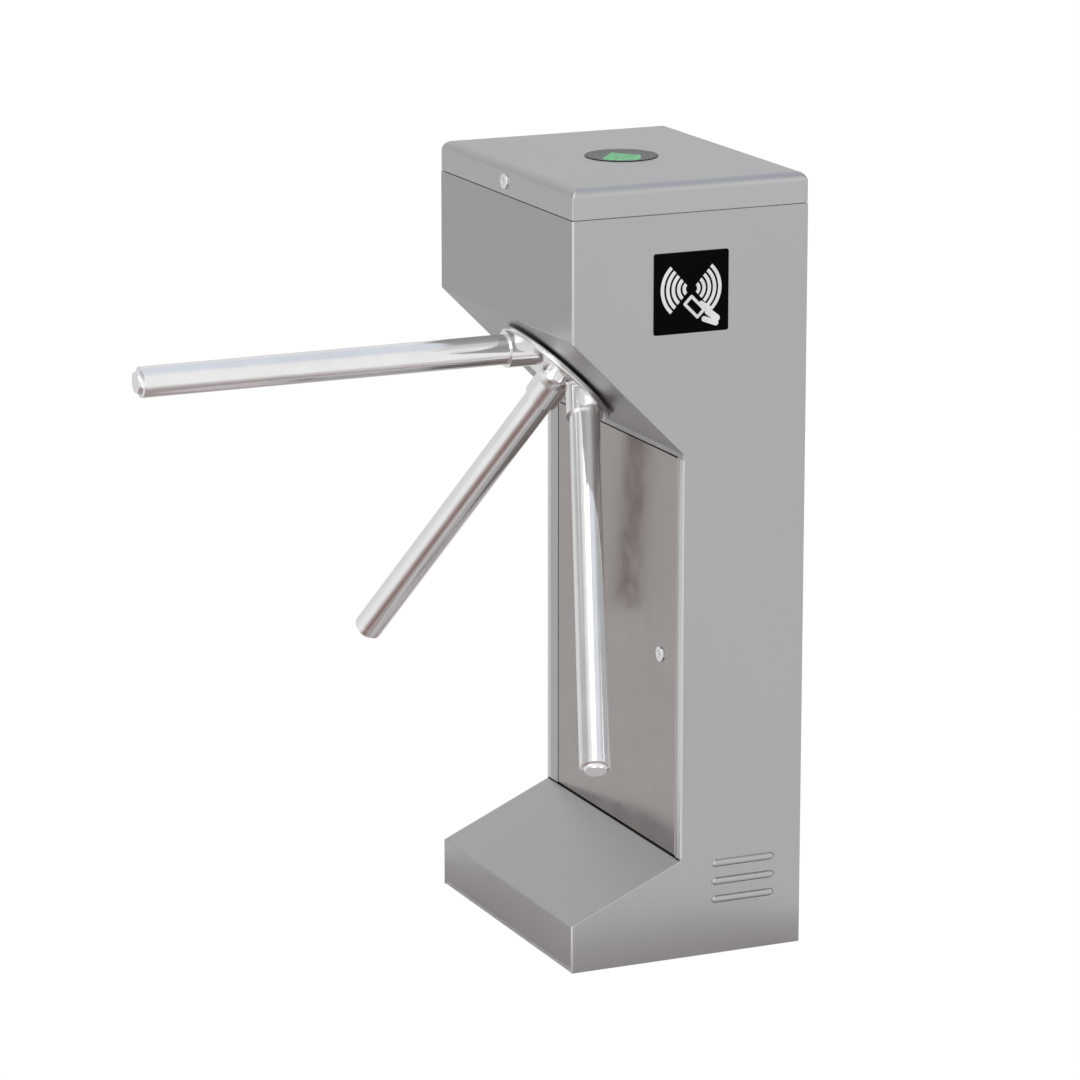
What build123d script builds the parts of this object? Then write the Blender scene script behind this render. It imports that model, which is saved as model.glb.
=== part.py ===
from build123d import *
from math import acos, cos, degrees, pi, radians, sin, tan
import os

# Tripod turnstile for counting visitors: a sheet-steel cabinet with a turning hub of three arms.
#
# Frame: +Z up, +Y along the passage away from the reader side, -X towards the arms.
# The origin is on the floor, at the centre of the four floor anchor holes. Millimetres.

os.makedirs("parts", exist_ok=True)

# ---------------------------------------------------------------- driving dimensions
WIDTH = 400.0  # cabinet along the passage, Y
DEPTH = 315.0  # cabinet across the passage, X
HEIGHT = 980.0  # floor to the top of the lid
SHEET = 1.5  # stainless sheet
LID_SKIRT = 38.0  # height of the lid's side walls
LID_GAP = 1.2  # shadow gap under the lid
HEAD_BOTTOM = 792.0  # lower edge of the head's upright face
UNDERCUT = 148.0  # both legs of the 45 degree undercut that carries the hub
FOOT_TOP = 126.0  # where the foot's slope meets the column
FOOT_FACE = 60.0  # upright face of the foot
BEND = 2.5  # outer radius of a folded edge

HUB_RADIUS = 86.0  # hub disc
HUB_STANDOFF = 3.0  # gap between the undercut and the back of the hub disc
HUB_DISC = 8.0  # thickness of the hub disc
APEX_DEPTH = 44.0  # how far behind the undercut the three arm axes meet
ARM_REACH = 588.0  # from that point to the tip of an arm
ARM_RADIUS = 19.0  # 38 mm tube
ARM_WALL = 1.5
ARM_SEAT = 88.0  # where a tube starts, from the meeting point
COLLAR_RADIUS = 23.0
COLLAR_END = 105.0
CAP_LENGTH = 15.0
ARM_COUNT = 3

ANCHOR_X = 120.0  # floor anchors, half spacing
ANCHOR_Y = 150.0
ANCHOR_HOLE = 7.0  # radius, for M12
BASE_THICK = 6.0
CABLE_ENTRY = 30.0  # radius

# ---------------------------------------------------------------- derived positions
FRONT = -DEPTH / 2
BACK = DEPTH / 2
NEAR = -WIDTH / 2
FAR = WIDTH / 2
COLUMN = FRONT + UNDERCUT
COLUMN_TOP = HEAD_BOTTOM - UNDERCUT
SEAM = HEIGHT - LID_SKIRT
LID_BOTTOM = SEAM + LID_GAP / 2
SHELL_TOP = SEAM - LID_GAP / 2

OUT = Vector(-1, 0, -1).normalized()  # hub axis, outwards and down at 45 degrees
UP = Vector(-1, 0, 1).normalized()  # up the undercut
HUB_CENTRE = Vector((FRONT + COLUMN) / 2, 0, (HEAD_BOTTOM + COLUMN_TOP) / 2)
HUB = Plane(origin=HUB_CENTRE, x_dir=UP, z_dir=OUT)
HUB_SECTION = Plane(origin=HUB_CENTRE, x_dir=UP, z_dir=(0, -1, 0))
HUB_AXIS = Axis(HUB_CENTRE, OUT)
APEX = HUB_CENTRE - OUT * APEX_DEPTH


def arm_plane(number):
    """Plane across arm 0, 1 or 2 at the arms' meeting point, facing out along the arm."""
    turn = radians(360 / ARM_COUNT * number)
    spoke = UP * cos(turn) + Vector(0, 1, 0) * sin(turn)
    return Plane(origin=APEX, x_dir=OUT.cross(spoke), z_dir=OUT + spoke)


def along_arm(number):
    """Section plane of an arm: X is the radius and Y the distance from the meeting point."""
    across = arm_plane(number)
    return Plane(origin=APEX, x_dir=across.x_dir, z_dir=across.x_dir.cross(across.z_dir))


def arm_axis(number):
    """Axis of an arm, from the meeting point outwards."""
    return Axis(APEX, arm_plane(number).z_dir)


def turned(section, axis, outline):
    """Turn a closed outline of (radius, height) points about its axis."""
    with BuildSketch(section) as profile:
        with BuildLine():
            Polyline(*outline, close=True)
        make_face()
    revolve(profile.sketch, axis=axis)


def hub_turned(outline):
    """Turn a closed outline of (radius, level) points about the hub axis."""
    turned(HUB_SECTION, HUB_AXIS, outline)


def hub_rod(spots, radius, start, end, mode=Mode.ADD):
    """Round rods parallel to the hub axis between two levels."""
    with BuildSketch(HUB.offset(start)) as profile:
        with Locations(*spots):
            Circle(radius)
    extrude(profile.sketch, amount=end - start, mode=mode)


def inner_corners(corners, distance):
    """Corners of a folded line moved to its left by a distance, mitred at each fold."""
    points = [Vector(*corner) for corner in corners]
    runs = [(after - before).normalized() for before, after in zip(points, points[1:])]
    moved = []
    for index, point in enumerate(points):
        before = runs[max(index - 1, 0)]
        after = runs[min(index, len(runs) - 1)]
        mitre = (before + after).normalized()
        reach = distance / mitre.dot(after)
        moved.append((point.X - mitre.Y * reach, point.Y + mitre.X * reach))
    return moved


def folded_sheet(plane, corners, length):
    """A strip of sheet on the left of a line of corners, folded at each of them."""
    with BuildSketch(plane) as profile:
        with BuildLine():
            outer = FilletPolyline(*corners, radius=BEND)
            inner = FilletPolyline(*inner_corners(corners, SHEET), radius=BEND - SHEET)
            Line(outer @ 0, inner @ 0)
            Line(outer @ 1, inner @ 1)
        make_face()
    extrude(profile.sketch, amount=length)


def ring_frame(outer_x, outer_y, wall, bottom, top):
    """Rectangular ring standing on edge, by its outer half sizes."""
    with BuildSketch(Plane.XY.offset(bottom)) as profile:
        Rectangle(2 * outer_x, 2 * outer_y)
        Rectangle(2 * (outer_x - wall), 2 * (outer_y - wall), mode=Mode.SUBTRACT)
    extrude(profile.sketch, amount=top - bottom)


# ---------------------------------------------------------------- cabinet side panels
SIDE_OUTLINE = [
    (FRONT, 0),
    (BACK, 0),
    (BACK, SHELL_TOP),
    (FRONT, SHELL_TOP),
    (FRONT, HEAD_BOTTOM),
    (COLUMN, COLUMN_TOP),
    (COLUMN, FOOT_TOP),
    (FRONT, FOOT_FACE),
]
DOOR_TOP = COLUMN_TOP - 6
DOOR_BOTTOM = FOOT_TOP + 2
NEAR_FLANGE = 14.0  # fold beside the access panel on the reader side
FAR_FLANGE = 32.0
LIP_DEPTH = 12.5

READER_Z = 844.0
READER_SIZE = 100.0
READER_CUTOUT = 95.0
READER_CORNER = 3.0
EDGE_ROUND = 1.2  # ground corner between a side panel and its neighbours
LOUVRE_X = BACK - 80  # middle of the louvres
LOUVRE_LEVELS = [70.0, 93.5, 117.0]
LOUVRE_LENGTH = 76.0  # between the centres of its rounded ends
LOUVRE_RADIUS = 5.8
LOUVRE_SINK = 2.0
LOUVRE_WALL = 1.2
LOUVRE_MOUTH = 8.1  # how far below its centre line the open mouth is cut


LOUVRE_REACH = LOUVRE_LENGTH + 4 * LOUVRE_RADIUS  # longer than a louvre with its ends


def capsules(radius, mode):
    """Round-ended bars along X at each louvre."""
    spots = [(LOUVRE_X, NEAR + LOUVRE_SINK, level) for level in LOUVRE_LEVELS]
    ends = [(x + side * LOUVRE_LENGTH / 2, y, z) for x, y, z in spots for side in (-1, 1)]
    with Locations(*spots):
        Cylinder(radius, LOUVRE_LENGTH, rotation=(0, 90, 0), mode=mode)
    with Locations(*ends):
        Sphere(radius, mode=mode)


def soften_outline(face):
    """Round the ground edges round a side panel, except where it stands on the floor and meets the lid."""
    edges = face.outer_wire().edges()
    uprights = edges.filter_by(lambda edge: edge.center().Z > 0 and edge.center().Z < SHELL_TOP)
    fillet(uprights, radius=EDGE_ROUND)


with BuildPart() as reader_side_panel:
    with BuildSketch(Plane.XZ.offset(-NEAR)):
        with BuildLine():
            Polyline(*SIDE_OUTLINE, close=True)
        make_face()
        with Locations((0, READER_Z)):
            RectangleRounded(READER_CUTOUT, READER_CUTOUT, READER_CORNER, mode=Mode.SUBTRACT)
    extrude(amount=-SHEET)
    soften_outline(reader_side_panel.faces().sort_by(Axis.Y)[0])
    capsules(LOUVRE_RADIUS, Mode.ADD)
    capsules(LOUVRE_RADIUS - LOUVRE_WALL, Mode.SUBTRACT)
    # nothing of a louvre stands inside the cabinet, and its underside is open
    insides = [(LOUVRE_X, NEAR + SHEET + LOUVRE_RADIUS, level) for level in LOUVRE_LEVELS]
    with Locations(*insides):
        Box(LOUVRE_REACH, 2 * LOUVRE_RADIUS, 3 * LOUVRE_RADIUS, mode=Mode.SUBTRACT)
    mouths = [(LOUVRE_X, NEAR - LOUVRE_RADIUS, level - LOUVRE_MOUTH) for level in LOUVRE_LEVELS]
    with Locations(*mouths):
        Box(LOUVRE_REACH, 2 * LOUVRE_RADIUS, 2 * LOUVRE_RADIUS, mode=Mode.SUBTRACT)
    # fold and lip beside the access panel
    with BuildSketch(Plane.XY.offset(DOOR_BOTTOM)):
        with Locations((COLUMN, NEAR)):
            Rectangle(SHEET, NEAR_FLANGE, align=Align.MIN)
        with Locations((COLUMN, NEAR + NEAR_FLANGE)):
            Rectangle(LIP_DEPTH, SHEET, align=(Align.MIN, Align.MAX))
    extrude(amount=DOOR_TOP - DOOR_BOTTOM)
reader_side_panel.part.label = "reader_side_panel"
export_step(reader_side_panel.part, "parts/reader_side_panel.step")

with BuildPart() as far_side_panel:
    with BuildSketch(Plane.XZ.offset(-FAR)):
        with BuildLine():
            Polyline(*SIDE_OUTLINE, close=True)
        make_face()
    extrude(amount=SHEET)
    soften_outline(far_side_panel.faces().sort_by(Axis.Y)[-1])
    with BuildSketch(Plane.XY.offset(DOOR_BOTTOM)):
        with Locations((COLUMN, FAR)):
            Rectangle(SHEET, FAR_FLANGE, align=(Align.MIN, Align.MAX))
    extrude(amount=DOOR_TOP - DOOR_BOTTOM)
far_side_panel.part.label = "far_side_panel"
export_step(far_side_panel.part, "parts/far_side_panel.step")

# ---------------------------------------------------------------- back, head front and foot
INNER_LENGTH = WIDTH - 2 * SHEET  # between the side panels
INNER_NEAR = NEAR + SHEET
HUB_OPENING = 36.0  # radius of the hole in the undercut
THROUGH = 10.0  # far enough to cut through a sheet
FOOT_FLANGE = 16.0  # flange of the foot cover under the column
BETWEEN_SIDES = Plane.XZ.offset(-FAR + SHEET)

with BuildPart() as back_panel:
    with BuildSketch(Plane.YZ.offset(BACK)):
        Rectangle(INNER_LENGTH, SHELL_TOP, align=(Align.CENTER, Align.MIN))
    extrude(amount=-SHEET)
back_panel.part.label = "back_panel"
export_step(back_panel.part, "parts/back_panel.step")

with BuildPart() as head_front_panel:
    head_line = [
        (FRONT, SHELL_TOP),
        (FRONT, HEAD_BOTTOM),
        (COLUMN, COLUMN_TOP),
        (COLUMN, DOOR_TOP),
    ]
    folded_sheet(BETWEEN_SIDES, head_line, INNER_LENGTH)
    hub_rod([(0, 0)], HUB_OPENING, -THROUGH, THROUGH, Mode.SUBTRACT)
head_front_panel.part.label = "head_front_panel"
export_step(head_front_panel.part, "parts/head_front_panel.step")

with BuildPart() as foot_cover:
    foot_line = [
        (COLUMN + FOOT_FLANGE, FOOT_TOP),
        (COLUMN, FOOT_TOP),
        (FRONT, FOOT_FACE),
        (FRONT, BASE_THICK),
    ]
    folded_sheet(BETWEEN_SIDES, foot_line, INNER_LENGTH)
foot_cover.part.label = "foot_cover"
export_step(foot_cover.part, "parts/foot_cover.step")

# ---------------------------------------------------------------- base plate and cable entry
CABLE_X = 70.0
GROMMET_LIP = 4.0  # how far the grommet stands inside and outside the hole's edge
GROMMET_BOTTOM = 1.0

with BuildPart() as base_plate:
    with BuildSketch():
        Rectangle(DEPTH - 2 * SHEET, INNER_LENGTH)
        with GridLocations(2 * ANCHOR_X, 2 * ANCHOR_Y, 2, 2):
            Circle(ANCHOR_HOLE, mode=Mode.SUBTRACT)
        with Locations((CABLE_X, 0)):
            Circle(CABLE_ENTRY, mode=Mode.SUBTRACT)
    extrude(amount=BASE_THICK)
base_plate.part.label = "base_plate"
export_step(base_plate.part, "parts/base_plate.step")

with BuildPart() as cable_grommet:
    entry_plane = Plane(origin=(CABLE_X, 0, 0), x_dir=(1, 0, 0), z_dir=(0, -1, 0))
    entry_axis = Axis((CABLE_X, 0, 0), (0, 0, 1))
    grommet_outline = [
        (CABLE_ENTRY - GROMMET_LIP, GROMMET_BOTTOM),
        (CABLE_ENTRY, GROMMET_BOTTOM),
        (CABLE_ENTRY, BASE_THICK),
        (CABLE_ENTRY + GROMMET_LIP, BASE_THICK),
        (CABLE_ENTRY + GROMMET_LIP, BASE_THICK + 3),
        (CABLE_ENTRY - GROMMET_LIP, BASE_THICK + 3),
    ]
    turned(entry_plane, entry_axis, grommet_outline)
cable_grommet.part.label = "cable_grommet"
export_step(cable_grommet.part, "parts/cable_grommet.step")

# ---------------------------------------------------------------- rim that the lid closes over
RIM_BOTTOM = SEAM - 20
RIM_TOP = SEAM + 18  # inside the lid's skirt
RIM_X = DEPTH / 2 - SHEET
RIM_Y = WIDTH / 2 - SHEET
RIM_STEP = 1.8  # the rim's upper half stands further in
KEEPER_Y = 32.0
KEEPER_LEG = 26.0
KEEPER_DEPTH = 14.0  # ledge that the lid's tongue turns under
KEEPER_THICK = 3.0
LID_LOCK_Z = SEAM + 17
KEEPER_LEDGE = LID_LOCK_Z + 7
RIM_INSIDE = -RIM_X + SHEET + RIM_STEP
NOTCH_NEAR = -16.0  # gap in the rim for the lid lock and its keeper
NOTCH_FAR = KEEPER_Y + 5
NOTCH_DEPTH = 12.0


def lock_notch():
    """Cut the rim away behind the lid lock."""
    with BuildSketch(Plane.XY.offset(SEAM + 2)) as profile:
        with Locations((-RIM_X, NOTCH_NEAR)):
            Rectangle(NOTCH_DEPTH, NOTCH_FAR - NOTCH_NEAR, align=Align.MIN)
    extrude(profile.sketch, amount=LID_SKIRT, mode=Mode.SUBTRACT)


with BuildPart() as top_rim:
    ring_frame(RIM_X, RIM_Y, SHEET + RIM_STEP, RIM_BOTTOM, SHELL_TOP)
    ring_frame(RIM_X - RIM_STEP, RIM_Y - RIM_STEP, SHEET, SHELL_TOP, RIM_TOP)
    lock_notch()
    # keeper that the lid's tongue turns under: a leg with a ledge towards the lock
    with BuildSketch(Plane.XY.offset(RIM_BOTTOM + 2)):
        with Locations((RIM_INSIDE, KEEPER_Y)):
            Rectangle(KEEPER_LEG, KEEPER_THICK, align=Align.MIN)
    extrude(amount=KEEPER_LEDGE + KEEPER_THICK - RIM_BOTTOM - 2)
    with BuildSketch(Plane.XY.offset(KEEPER_LEDGE)):
        with Locations((RIM_INSIDE + KEEPER_LEG - KEEPER_DEPTH, KEEPER_Y)):
            Rectangle(KEEPER_DEPTH, 20, align=(Align.MIN, Align.MAX))
    extrude(amount=KEEPER_THICK)
top_rim.part.label = "top_rim"
export_step(top_rim.part, "parts/top_rim.step")

TRIM_WALL = SHEET + 2  # rubber strip pushed over a sheet edge
TRIM_DEPTH = 8.0
HOLE_TRIM = [
    # round the hub opening: radius and level
    (HUB_OPENING - 3, 1.8),
    (HUB_OPENING + 3, 1.8),
    (HUB_OPENING + 3, 0),
    (HUB_OPENING, 0),
    (HUB_OPENING, -SHEET),
    (HUB_OPENING + 3, -SHEET),
    (HUB_OPENING + 3, -SHEET - 2),
    (HUB_OPENING - 3, -SHEET - 2),
]

with BuildPart() as edge_trims:
    ring_frame(RIM_X - RIM_STEP + 1, RIM_Y - RIM_STEP + 1, TRIM_WALL, RIM_TOP - TRIM_DEPTH, RIM_TOP + 2)
    add(top_rim.part, mode=Mode.SUBTRACT)
    lock_notch()
    hub_turned(HOLE_TRIM)
edge_trims.part.label = "edge_trims"
export_step(edge_trims.part, "parts/edge_trims.step")

# ---------------------------------------------------------------- lid
LID_RADIUS = 12.0  # folded top edges
LID_CORNER = 3.0
LENS_RADIUS = 46.0
LENS_HOLE = 40.0
LOCK_RADIUS = 7.0

with BuildPart() as lid:
    with BuildSketch(Plane.XY.offset(LID_BOTTOM)):
        RectangleRounded(DEPTH, WIDTH, LID_CORNER)
    extrude(amount=HEIGHT - LID_BOTTOM)
    fillet(lid.faces().sort_by(Axis.Z)[-1].edges(), radius=LID_RADIUS)
    offset(amount=-SHEET, openings=lid.faces().sort_by(Axis.Z)[0])
    with Locations((0, 0, HEIGHT)):
        Cylinder(LENS_HOLE, 4 * SHEET, mode=Mode.SUBTRACT)
    with Locations((FRONT, 0, LID_LOCK_Z)):
        Cylinder(LOCK_RADIUS, 6 * SHEET, rotation=(0, 90, 0), mode=Mode.SUBTRACT)
lid.part.label = "lid"
export_step(lid.part, "parts/lid.step")

# ---------------------------------------------------------------- lid hinges
HINGE_X = BACK + 4
HINGE_RADIUS = 3.5
HINGE_PIN = 1.6
HINGE_PLAY = 0.05
HINGE_Y = [-130.0, 130.0]
HINGE_LENGTH = 60.0
KNUCKLES = 5
KNUCKLE = HINGE_LENGTH / KNUCKLES
KNUCKLE_GAP = 0.2  # at each end of a knuckle
KNUCKLE_WIDE = KNUCKLE - 2 * KNUCKLE_GAP
LEAF = 1.5
LEAF_GAP = 4.0  # between a leaf and the pin's axis
LOWER_LEAF = 26.0
UPPER_LEAF = 18.0


def hinge_leaves(numbers, height, side):
    """Leaves of both hinges above (side 1) or below (side -1) the pin, with the numbered knuckles."""
    level = Align.MIN if side > 0 else Align.MAX
    for centre in HINGE_Y:
        starts = [centre - HINGE_LENGTH / 2 + KNUCKLE * number + KNUCKLE_GAP for number in numbers]
        with BuildSketch(Plane.YZ.offset(BACK)) as profile:
            with Locations((centre, SEAM + side * LEAF_GAP)):
                Rectangle(HINGE_LENGTH, height, align=(Align.CENTER, level))
            for start in starts:
                with Locations((start, SEAM)):
                    Rectangle(KNUCKLE_WIDE, LEAF_GAP + 1, align=(Align.MIN, level))
        extrude(profile.sketch, amount=LEAF)
        for start in starts:
            with BuildSketch(Plane.XZ.offset(-start)) as profile:
                with Locations((HINGE_X, SEAM)):
                    Circle(HINGE_RADIUS)
            extrude(profile.sketch, amount=-KNUCKLE_WIDE)
        with BuildSketch(Plane.XZ.offset(-centre)) as profile:
            with Locations((HINGE_X, SEAM)):
                Circle(HINGE_PIN + HINGE_PLAY)
        extrude(profile.sketch, amount=HINGE_LENGTH, both=True, mode=Mode.SUBTRACT)


with BuildPart() as lid_hinge_lower_leaves:
    hinge_leaves([0, 2, 4], LOWER_LEAF, -1)
lid_hinge_lower_leaves.part.label = "lid_hinge_lower_leaves"
export_step(lid_hinge_lower_leaves.part, "parts/lid_hinge_lower_leaves.step")

with BuildPart() as lid_hinge_upper_leaves:
    hinge_leaves([1, 3], UPPER_LEAF, 1)
lid_hinge_upper_leaves.part.label = "lid_hinge_upper_leaves"
export_step(lid_hinge_upper_leaves.part, "parts/lid_hinge_upper_leaves.step")

with BuildPart() as lid_hinge_pins:
    for centre in HINGE_Y:
        with BuildSketch(Plane.XZ.offset(-centre)):
            with Locations((HINGE_X, SEAM)):
                Circle(HINGE_PIN)
        extrude(amount=HINGE_LENGTH / 2, both=True)
lid_hinge_pins.part.label = "lid_hinge_pins"
export_step(lid_hinge_pins.part, "parts/lid_hinge_pins.step")

# ---------------------------------------------------------------- key locks
LOCK_PLUG = 4.4  # radius of the turning plug
LOCK_PLAY = 0.08
LOCK_BEZEL = 9.5
BEZEL_PROUD = 2.0
PLUG_PROUD = 1.6
LOCK_LENGTH = 15.0
LOCK_NUT = 10.5  # corner radius
LOCK_NUT_THICK = 4.0
KEY_WIDTH = 5.0
KEY_THICK = 1.3
KEY_DEPTH = 6.0
TONGUE = 2.5  # thickness of a lock tongue
TONGUE_WIDTH = 10.0
SQUARE = 5.0  # stub that carries the tongue


def lock_barrel(face, y, z):
    """Barrel with a bezel, through a wall whose outer face looks towards -X."""
    with BuildSketch(Plane.YZ.offset(face - BEZEL_PROUD)) as profile:
        with Locations((y, z)):
            Circle(LOCK_BEZEL)
    extrude(profile.sketch, amount=BEZEL_PROUD, taper=-12)
    with BuildSketch(Plane.YZ.offset(face)) as profile:
        with Locations((y, z)):
            Circle(LOCK_RADIUS)
    extrude(profile.sketch, amount=LOCK_LENGTH)
    with BuildSketch(Plane.YZ.offset(face - BEZEL_PROUD)) as profile:
        with Locations((y, z)):
            Circle(LOCK_PLUG + LOCK_PLAY)
    extrude(profile.sketch, amount=LOCK_LENGTH + BEZEL_PROUD, mode=Mode.SUBTRACT)


def lock_nut(face, y, z):
    """Hexagon nut on the barrel, behind the wall."""
    with BuildSketch(Plane.YZ.offset(face + SHEET)) as profile:
        with Locations((y, z)):
            RegularPolygon(LOCK_NUT, 6)
            Circle(LOCK_RADIUS + 0.05, mode=Mode.SUBTRACT)
    extrude(profile.sketch, amount=LOCK_NUT_THICK)


def lock_plug(face, y, z):
    """Turning plug with a key slot in front and a square stub for the tongue."""
    with BuildSketch(Plane.YZ.offset(face - PLUG_PROUD)) as profile:
        with Locations((y, z)):
            Circle(LOCK_PLUG)
    extrude(profile.sketch, amount=LOCK_LENGTH + PLUG_PROUD)
    with BuildSketch(Plane.YZ.offset(face + LOCK_LENGTH)) as profile:
        with Locations((y, z)):
            Rectangle(SQUARE, SQUARE)
    extrude(profile.sketch, amount=TONGUE + 1.5)
    with BuildSketch(Plane.YZ.offset(face - PLUG_PROUD)) as profile:
        with Locations((y, z)):
            Rectangle(KEY_THICK, KEY_WIDTH)
    extrude(profile.sketch, amount=KEY_DEPTH, mode=Mode.SUBTRACT)


def lock_tongue(face, y, z, length):
    """Tongue that hangs down from the plug when the lock is open."""
    with BuildSketch(Plane.YZ.offset(face + LOCK_LENGTH + 0.05)) as profile:
        with Locations((y, z)):
            Circle(TONGUE_WIDTH / 2 + 2)
            Rectangle(TONGUE_WIDTH, length, align=(Align.CENTER, Align.MAX))
            Rectangle(SQUARE + 0.1, SQUARE + 0.1, mode=Mode.SUBTRACT)
    extrude(profile.sketch, amount=TONGUE)


LID_TONGUE = 28.0

with BuildPart() as lid_lock_body:
    lock_barrel(FRONT, 0, LID_LOCK_Z)
    lock_nut(FRONT, 0, LID_LOCK_Z)
lid_lock_body.part.label = "lid_lock_body"
export_step(lid_lock_body.part, "parts/lid_lock_body.step")

with BuildPart() as lid_lock_cam:
    lock_plug(FRONT, 0, LID_LOCK_Z)
    lock_tongue(FRONT, 0, LID_LOCK_Z, LID_TONGUE)
lid_lock_cam.part.label = "lid_lock_cam"
export_step(lid_lock_cam.part, "parts/lid_lock_cam.step")


# ---------------------------------------------------------------- direction indicator in the lid
LENS_PROUD = 1.0
LENS_PLUG = 4.0  # how deep the lens reaches into the lid's hole
INDICATOR_DEPTH = 22.0
LID_UNDERSIDE = HEIGHT - SHEET
BOARD = 1.6  # thickness of a circuit board

with BuildPart() as indicator_lens:
    with BuildSketch(Plane.XY.offset(HEIGHT)):
        Circle(LENS_RADIUS)
    extrude(amount=LENS_PROUD)
    fillet(indicator_lens.faces().sort_by(Axis.Z)[-1].edges(), radius=0.6)
    with BuildSketch(Plane.XY.offset(HEIGHT)):
        Circle(LENS_HOLE - 0.3)
    extrude(amount=-LENS_PLUG)
indicator_lens.part.label = "indicator_lens"
export_step(indicator_lens.part, "parts/indicator_lens.step")

with BuildPart() as indicator_housing:
    with BuildSketch(Plane.XY.offset(LID_UNDERSIDE)):
        Circle(LENS_RADIUS + 4)
    extrude(amount=-3)
    with BuildSketch(Plane.XY.offset(LID_UNDERSIDE)):
        Circle(LENS_HOLE + 2)
    extrude(amount=-INDICATOR_DEPTH)
    with BuildSketch(Plane.XY.offset(LID_UNDERSIDE)):
        Circle(LENS_HOLE)
    extrude(amount=-INDICATOR_DEPTH + 2, mode=Mode.SUBTRACT)
indicator_housing.part.label = "indicator_housing"
export_step(indicator_housing.part, "parts/indicator_housing.step")

ARROW_TOP = HEIGHT - LENS_PLUG - 0.2
ARROW_STEM = 14.0
ARROW_TAIL = -34.0
ARROW_HEAD = 26.0  # half width
ARROW_TIP = 30.0
ARROW_THICK = 5.0

with BuildPart() as indicator_arrow:
    with BuildSketch(Plane.XY.offset(ARROW_TOP)):
        Rectangle(ARROW_STEM, -ARROW_TAIL, align=(Align.CENTER, Align.MAX))
        with BuildLine():
            Polyline((-ARROW_HEAD, -2), (0, ARROW_TIP), (ARROW_HEAD, -2), close=True)
        make_face()
    extrude(amount=-ARROW_THICK)
indicator_arrow.part.label = "indicator_arrow"
export_step(indicator_arrow.part, "parts/indicator_arrow.step")

HOUSING_FLOOR = LID_UNDERSIDE - INDICATOR_DEPTH + 2
LAMP_BOARD_TOP = HOUSING_FLOOR + 4

with BuildPart() as indicator_board:
    with BuildSketch(Plane.XY.offset(LAMP_BOARD_TOP)):
        Circle(LENS_HOLE - 1)
    extrude(amount=-BOARD)
    # lamps under the arrow, and feet on the floor of the housing
    with BuildSketch(Plane.XY.offset(LAMP_BOARD_TOP)):
        with GridLocations(12, 12, 3, 3):
            Rectangle(5, 5)
    extrude(amount=2)
    with BuildSketch(Plane.XY.offset(LAMP_BOARD_TOP - BOARD)):
        with GridLocations(50, 30, 2, 2):
            Circle(2.5)
    extrude(amount=HOUSING_FLOOR - LAMP_BOARD_TOP + BOARD)
indicator_board.part.label = "indicator_board"
export_step(indicator_board.part, "parts/indicator_board.step")

# ---------------------------------------------------------------- card reader in the near side
WINDOW_PROUD = 1.2
WINDOW_PLUG = 3.5  # how deep the window reaches into its cut-out
MODULE_DEPTH = 16.0

with BuildPart() as reader_window:
    with BuildSketch(Plane.XZ.offset(-NEAR)):
        with Locations((0, READER_Z)):
            RectangleRounded(READER_SIZE, READER_SIZE, READER_CORNER)
    extrude(amount=WINDOW_PROUD)
    fillet(reader_window.faces().sort_by(Axis.Y)[0].edges(), radius=0.6)
    with BuildSketch(Plane.XZ.offset(-NEAR)):
        with Locations((0, READER_Z)):
            RectangleRounded(READER_CUTOUT - 0.6, READER_CUTOUT - 0.6, READER_CORNER)
    extrude(amount=-WINDOW_PLUG)
reader_window.part.label = "reader_window"
export_step(reader_window.part, "parts/reader_window.step")

with BuildPart() as reader_gasket:
    with BuildSketch(Plane.XZ.offset(-INNER_NEAR)):
        with Locations((0, READER_Z)):
            Rectangle(READER_SIZE + 10, READER_SIZE + 10)
            Rectangle(READER_CUTOUT, READER_CUTOUT, mode=Mode.SUBTRACT)
    extrude(amount=-2)
reader_gasket.part.label = "reader_gasket"
export_step(reader_gasket.part, "parts/reader_gasket.step")

with BuildPart() as reader_module:
    with BuildSketch(Plane.XZ.offset(-INNER_NEAR - 2)):
        with Locations((0, READER_Z)):
            RectangleRounded(READER_SIZE + 16, READER_SIZE + 16, 6)
    extrude(amount=-MODULE_DEPTH)
    fillet(reader_module.faces().sort_by(Axis.Y)[-1].edges(), radius=3)
    # plug for its cable
    with BuildSketch(Plane.XZ.offset(-INNER_NEAR - 2 - MODULE_DEPTH)):
        with Locations((0, READER_Z - 35)):
            Rectangle(30, 12)
    extrude(amount=-6)
reader_module.part.label = "reader_module"
export_step(reader_module.part, "parts/reader_module.step")

# ---------------------------------------------------------------- access panel in the column
PANEL_GAP = 1.5
PANEL_NEAR = NEAR + NEAR_FLANGE + PANEL_GAP
PANEL_FAR = FAR - FAR_FLANGE - PANEL_GAP
PANEL_BOTTOM = DOOR_BOTTOM + 1
PANEL_TOP = DOOR_TOP - 1.5
PANEL_RETURN = 11.0
PANEL_LOCK_Y = -140.0
PANEL_LOCK_Z = 378.0
PANEL_TONGUE = 52.0
TAB_LEVELS = [PANEL_BOTTOM + 90, PANEL_TOP - 90]
TAB_FACE = COLUMN + SHEET + 0.6  # front face of a tab, just behind the far fold
TAB_REACH = 12.0
TAB_WIDTH = 40.0

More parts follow.
